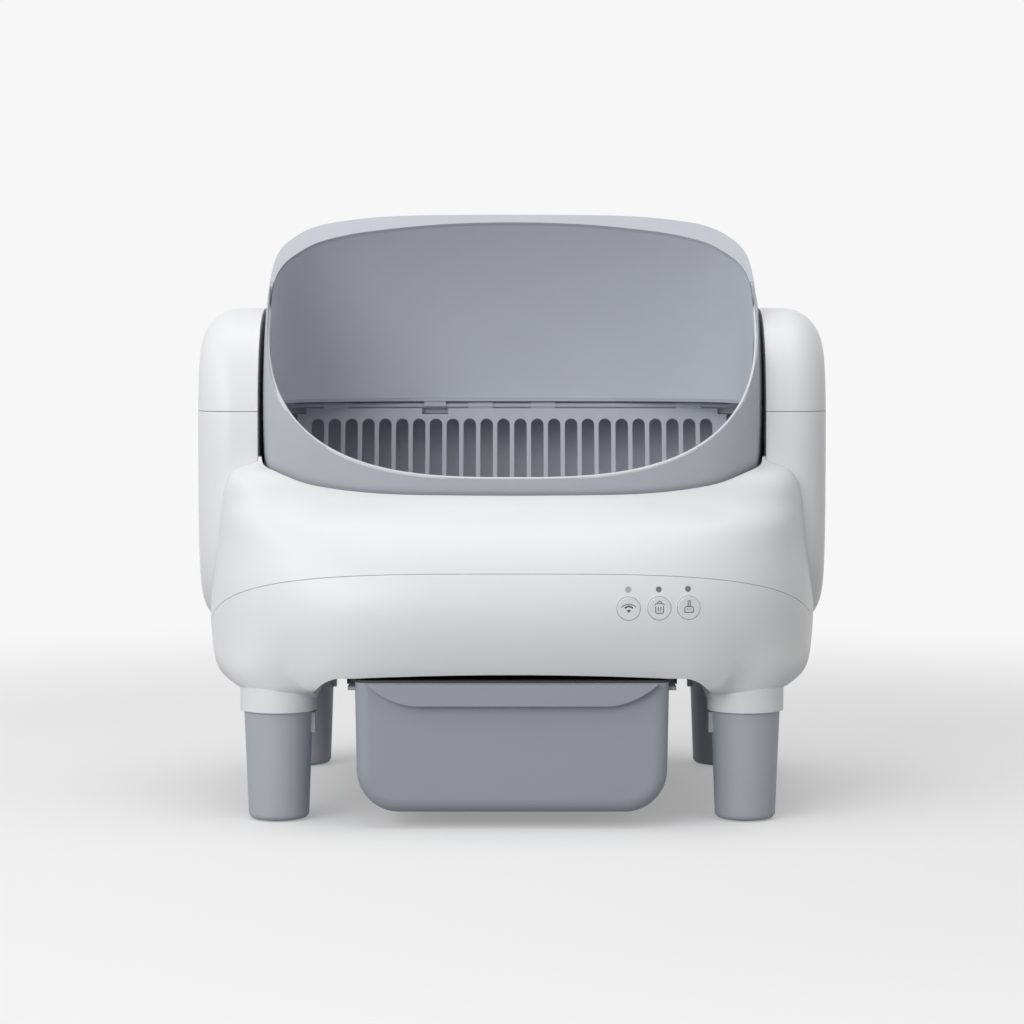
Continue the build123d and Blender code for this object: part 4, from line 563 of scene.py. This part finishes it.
signal_strokes = (
    stroke(arc((0.0, -5.0 * MM), 8.9 * MM, 45.0, 135.0), SIGN_STROKE),
    stroke(arc((0.0, -2.3 * MM), 4.3 * MM, 38.0, 142.0), SIGN_HEAVY_STROKE),
    dot((0.0, -3.6 * MM), 2.7 * MM, 48.0, 132.0),
)
bin_strokes = (
    stroke(line((-4.2, 3.0), (-3.0, 3.9), (0.0, 4.4), (3.0, 3.9), (4.2, 3.0)), SIGN_STROKE),
    stroke(line((-1.6, 4.7), (-1.4, 5.8), (0.0, 6.1), (1.4, 5.8), (1.6, 4.7)), SIGN_STROKE),
    stroke(
        line((-3.4, 1.9), (-3.4, -3.5), (-2.8, -4.2), (2.8, -4.2), (3.4, -3.5), (3.4, 1.9)), SIGN_STROKE
    ),
    stroke(line((-1.1, 1.4), (-1.0, -2.4)), SIGN_STROKE),
    stroke(line((1.1, 1.4), (1.0, -2.4)), SIGN_STROKE),
)
brush_strokes = (
    stroke(line((-1.6, 6.0), (1.6, 6.0)), SIGN_STROKE),
    stroke(line((-0.9, 5.4), (-0.9, 1.5)), SIGN_STROKE),
    stroke(line((0.9, 5.4), (0.9, 1.5)), SIGN_STROKE),
    stroke(
        line((-3.8, -3.6), (-3.8, 0.1), (-3.0, 1.1), (3.0, 1.1), (3.8, 0.1), (3.8, -3.6)), SIGN_STROKE
    ),
    stroke(line((-4.1, -3.8), (4.1, -3.8)), SIGN_STROKE),
    stroke(line((-1.3, -0.3), (-1.0, -1.7)), SIGN_STROKE),
    stroke(line((1.0, -0.6), (1.3, -2.0)), SIGN_STROKE),
)
make_sign("signal_sign", "left_button", joints["left_key"], signal_strokes)
make_sign("bin_sign", "middle_button", joints["middle_key"], bin_strokes)
make_sign("brush_sign", "right_button", joints["right_key"], brush_strokes)


def scoop_rim():
    """Middle line of the scoop's rim, from its left end through its lowest point to its right end: seen
    from the front a superellipse, x = a cos(t)^(2/n) and z = c - b sin(t)^(2/n), mirrored; the depth y is
    a curve in z, fitted to the bowl's own points on that outline."""
    centre_z = joints["drum"]["pos_m"][2] + SCOOP_RISE
    points = packed_points("drum_bowl")
    points = points[(points[:, 1] < 0) & (points[:, 2] < centre_z)]
    span = (np.abs(points[:, 0]) / SCOOP_HALF_WIDTH) ** SCOOP_POWER
    span += ((centre_z - points[:, 2]) / SCOOP_DEPTH) ** SCOOP_POWER
    rim = points[np.abs(span - 1) < SCOOP_FIT_SHARE]
    depth = np.polynomial.Polynomial.fit(rim[:, 2], rim[:, 1], SCOOP_FIT_DEGREE)
    turn = np.linspace(0, np.pi / 2, BEAD_STEPS)
    width = SCOOP_HALF_WIDTH * np.cos(turn) ** (2 / SCOOP_POWER)
    height = centre_z - SCOOP_DEPTH * np.sin(turn) ** (2 / SCOOP_POWER)
    half = np.column_stack((width, depth(height), height))[height <= rim[:, 2].max()]
    return np.concatenate((half * (-1, 1, 1), half[::-1][1:]))


def rim_bead():
    """A round bead along the scoop's rim: a circle swept along the rim's middle line, in the plane of the
    line's own normal and the depth axis, and drawn to a point at both ends."""
    path = scoop_rim()
    along = along_path(path)
    deep = np.array((0.0, 1.0, 0.0)) - along * along[:, 1:2]
    deep /= np.linalg.norm(deep, axis=1, keepdims=True)
    out = np.cross(along, deep)
    run = np.concatenate(((0,), np.cumsum(np.linalg.norm(np.diff(path, axis=0), axis=1))))
    radius = BEAD_RADIUS * np.sqrt(eased(np.minimum(run, run[-1] - run), -BEAD_TIP, BEAD_TAPER))
    turn = np.linspace(0, 2 * np.pi, BEAD_CORNERS, endpoint=False)[None, :, None]
    circle = np.cos(turn) * deep[:, None, :] + np.sin(turn) * out[:, None, :]
    points = (path[:, None, :] + radius[:, None, None] * circle).reshape(-1, 3)
    here = np.arange(BEAD_CORNERS)
    after = (here + 1) % BEAD_CORNERS
    start = np.arange(len(path) - 1)[:, None] * BEAD_CORNERS
    beyond = start + BEAD_CORNERS
    sides = np.stack((start + here, start + after, beyond + after, beyond + here), axis=-1)
    last = (len(path) - 1) * BEAD_CORNERS
    quads = sides.reshape(-1, sides.shape[-1]).tolist()
    faces = [*quads, here[::-1].tolist(), (here + last).tolist()]
    # the bead's pale grey is a painted highlight along the rim
    bead = add_piece("rim_bead", points, faces, moulded("rim_painted_highlight", RIM_PAINTED_HIGHLIGHT_GREY, **RIM_SKIN), smooth=True)
    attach(bead, "drum")


rim_bead()


def seen_rays(tree):
    """One for rays that show the background as such: from the camera, a mirror or a clear body."""
    rays = tree.nodes.new("ShaderNodeLightPath")
    seen = rays.outputs["Is Camera Ray"]
    for kind in ("Is Glossy Ray", "Is Transmission Ray"):
        seen = worked(tree, "MAXIMUM", seen, rays.outputs[kind])
    return rays, seen


def floor_finish():
    """Pale paper: a matt floor that keeps the shadow and fades into the white surround farther out."""
    material, tree, shader, place = new_finish("studio_paper")
    shader.inputs["Roughness"].default_value = FLOOR_ROUGHNESS
    shader.inputs["Specular IOR Level"].default_value = 0.0
    fibres = spread(tree, noise(tree, place, *PAPER_FIBRES))
    tone = two_tone(tree, fibres, *tones(FLOOR_COLOUR, FLOOR_TONE_SHARES))
    rays, seen = seen_rays(tree)
    shown = two_tone(tree, rays.outputs["Is Camera Ray"], FLOOR_BOUNCE_COLOUR, FLOOR_COLOUR)
    tree.links.new(tone, shown.node.inputs[MIX_LIGHT])
    tree.links.new(shown, shader.inputs["Base Color"])
    glow = tree.nodes.new("ShaderNodeEmission")
    glow.inputs["Color"].default_value = (*SURROUND_COLOUR, 1)
    reach = tree.nodes.new("ShaderNodeVectorMath")
    reach.operation = "LENGTH"
    tree.links.new(place, reach.inputs[0])
    rise = ranged(tree, reach.outputs["Value"], FLOOR_FADE_REACH, (FLOOR_GLOW, 1.0), "SMOOTHSTEP")
    mix = tree.nodes.new("ShaderNodeMixShader")
    tree.links.new(worked(tree, "MULTIPLY", seen, rise), mix.inputs["Fac"])
    tree.links.new(shader.outputs["BSDF"], mix.inputs[1])
    tree.links.new(glow.outputs["Emission"], mix.inputs[2])
    tree.links.new(mix.outputs["Shader"], tree.nodes["Material Output"].inputs["Surface"])
    return material


def studio_floor():
    """A flat disc on the ground: corner k lies at an angle of 2 pi k / corners, one radius out."""
    turn = np.linspace(0, 2 * np.pi, FLOOR_CORNERS, endpoint=False)
    points = FLOOR_RADIUS * np.column_stack((np.cos(turn), np.sin(turn), np.zeros_like(turn)))
    return add_piece("studio_floor", points, [tuple(range(FLOOR_CORNERS))], floor_finish())


def aim(item, target):
    """Turns a lamp or the camera from its place to look at the target, upright."""
    way = Vector(target) - item.location
    item.rotation_euler = way.to_track_quat("-Z", "Y").to_euler()


floor = studio_floor()

for name, place, target, size, power in LAMPS:
    lamp_data = bpy.data.lights.new(name, "AREA")
    lamp_data.size = size
    lamp_data.energy = power
    lamp = bpy.data.objects.new(name, lamp_data)
    lamp.location = place
    lamp.visible_camera = False
    aim(lamp, target)
    bpy.context.scene.collection.objects.link(lamp)

world = bpy.data.worlds.new("studio_world")
bpy.context.scene.world = world
world.use_nodes = True
world_tree = world.node_tree
backdrop = world_tree.nodes["Background"]
backdrop.inputs["Color"].default_value = (*SURROUND_COLOUR, 1)
_, seen = seen_rays(world_tree)
level = ranged(world_tree, seen, (0.0, 1.0), (WORLD_STRENGTH, 1.0))
world_tree.links.new(level, backdrop.inputs["Strength"])

camera_data = bpy.data.cameras.new("photo_camera")
camera_data.lens = CAMERA_LENS_MM
camera_data.sensor_width = CAMERA_SENSOR_MM
camera = bpy.data.objects.new("photo_camera", camera_data)
camera.location = CAMERA_PLACE
aim(camera, CAMERA_TARGET)
bpy.context.scene.collection.objects.link(camera)
bpy.context.scene.camera = camera
bpy.context.scene.view_settings.view_transform = "Standard"
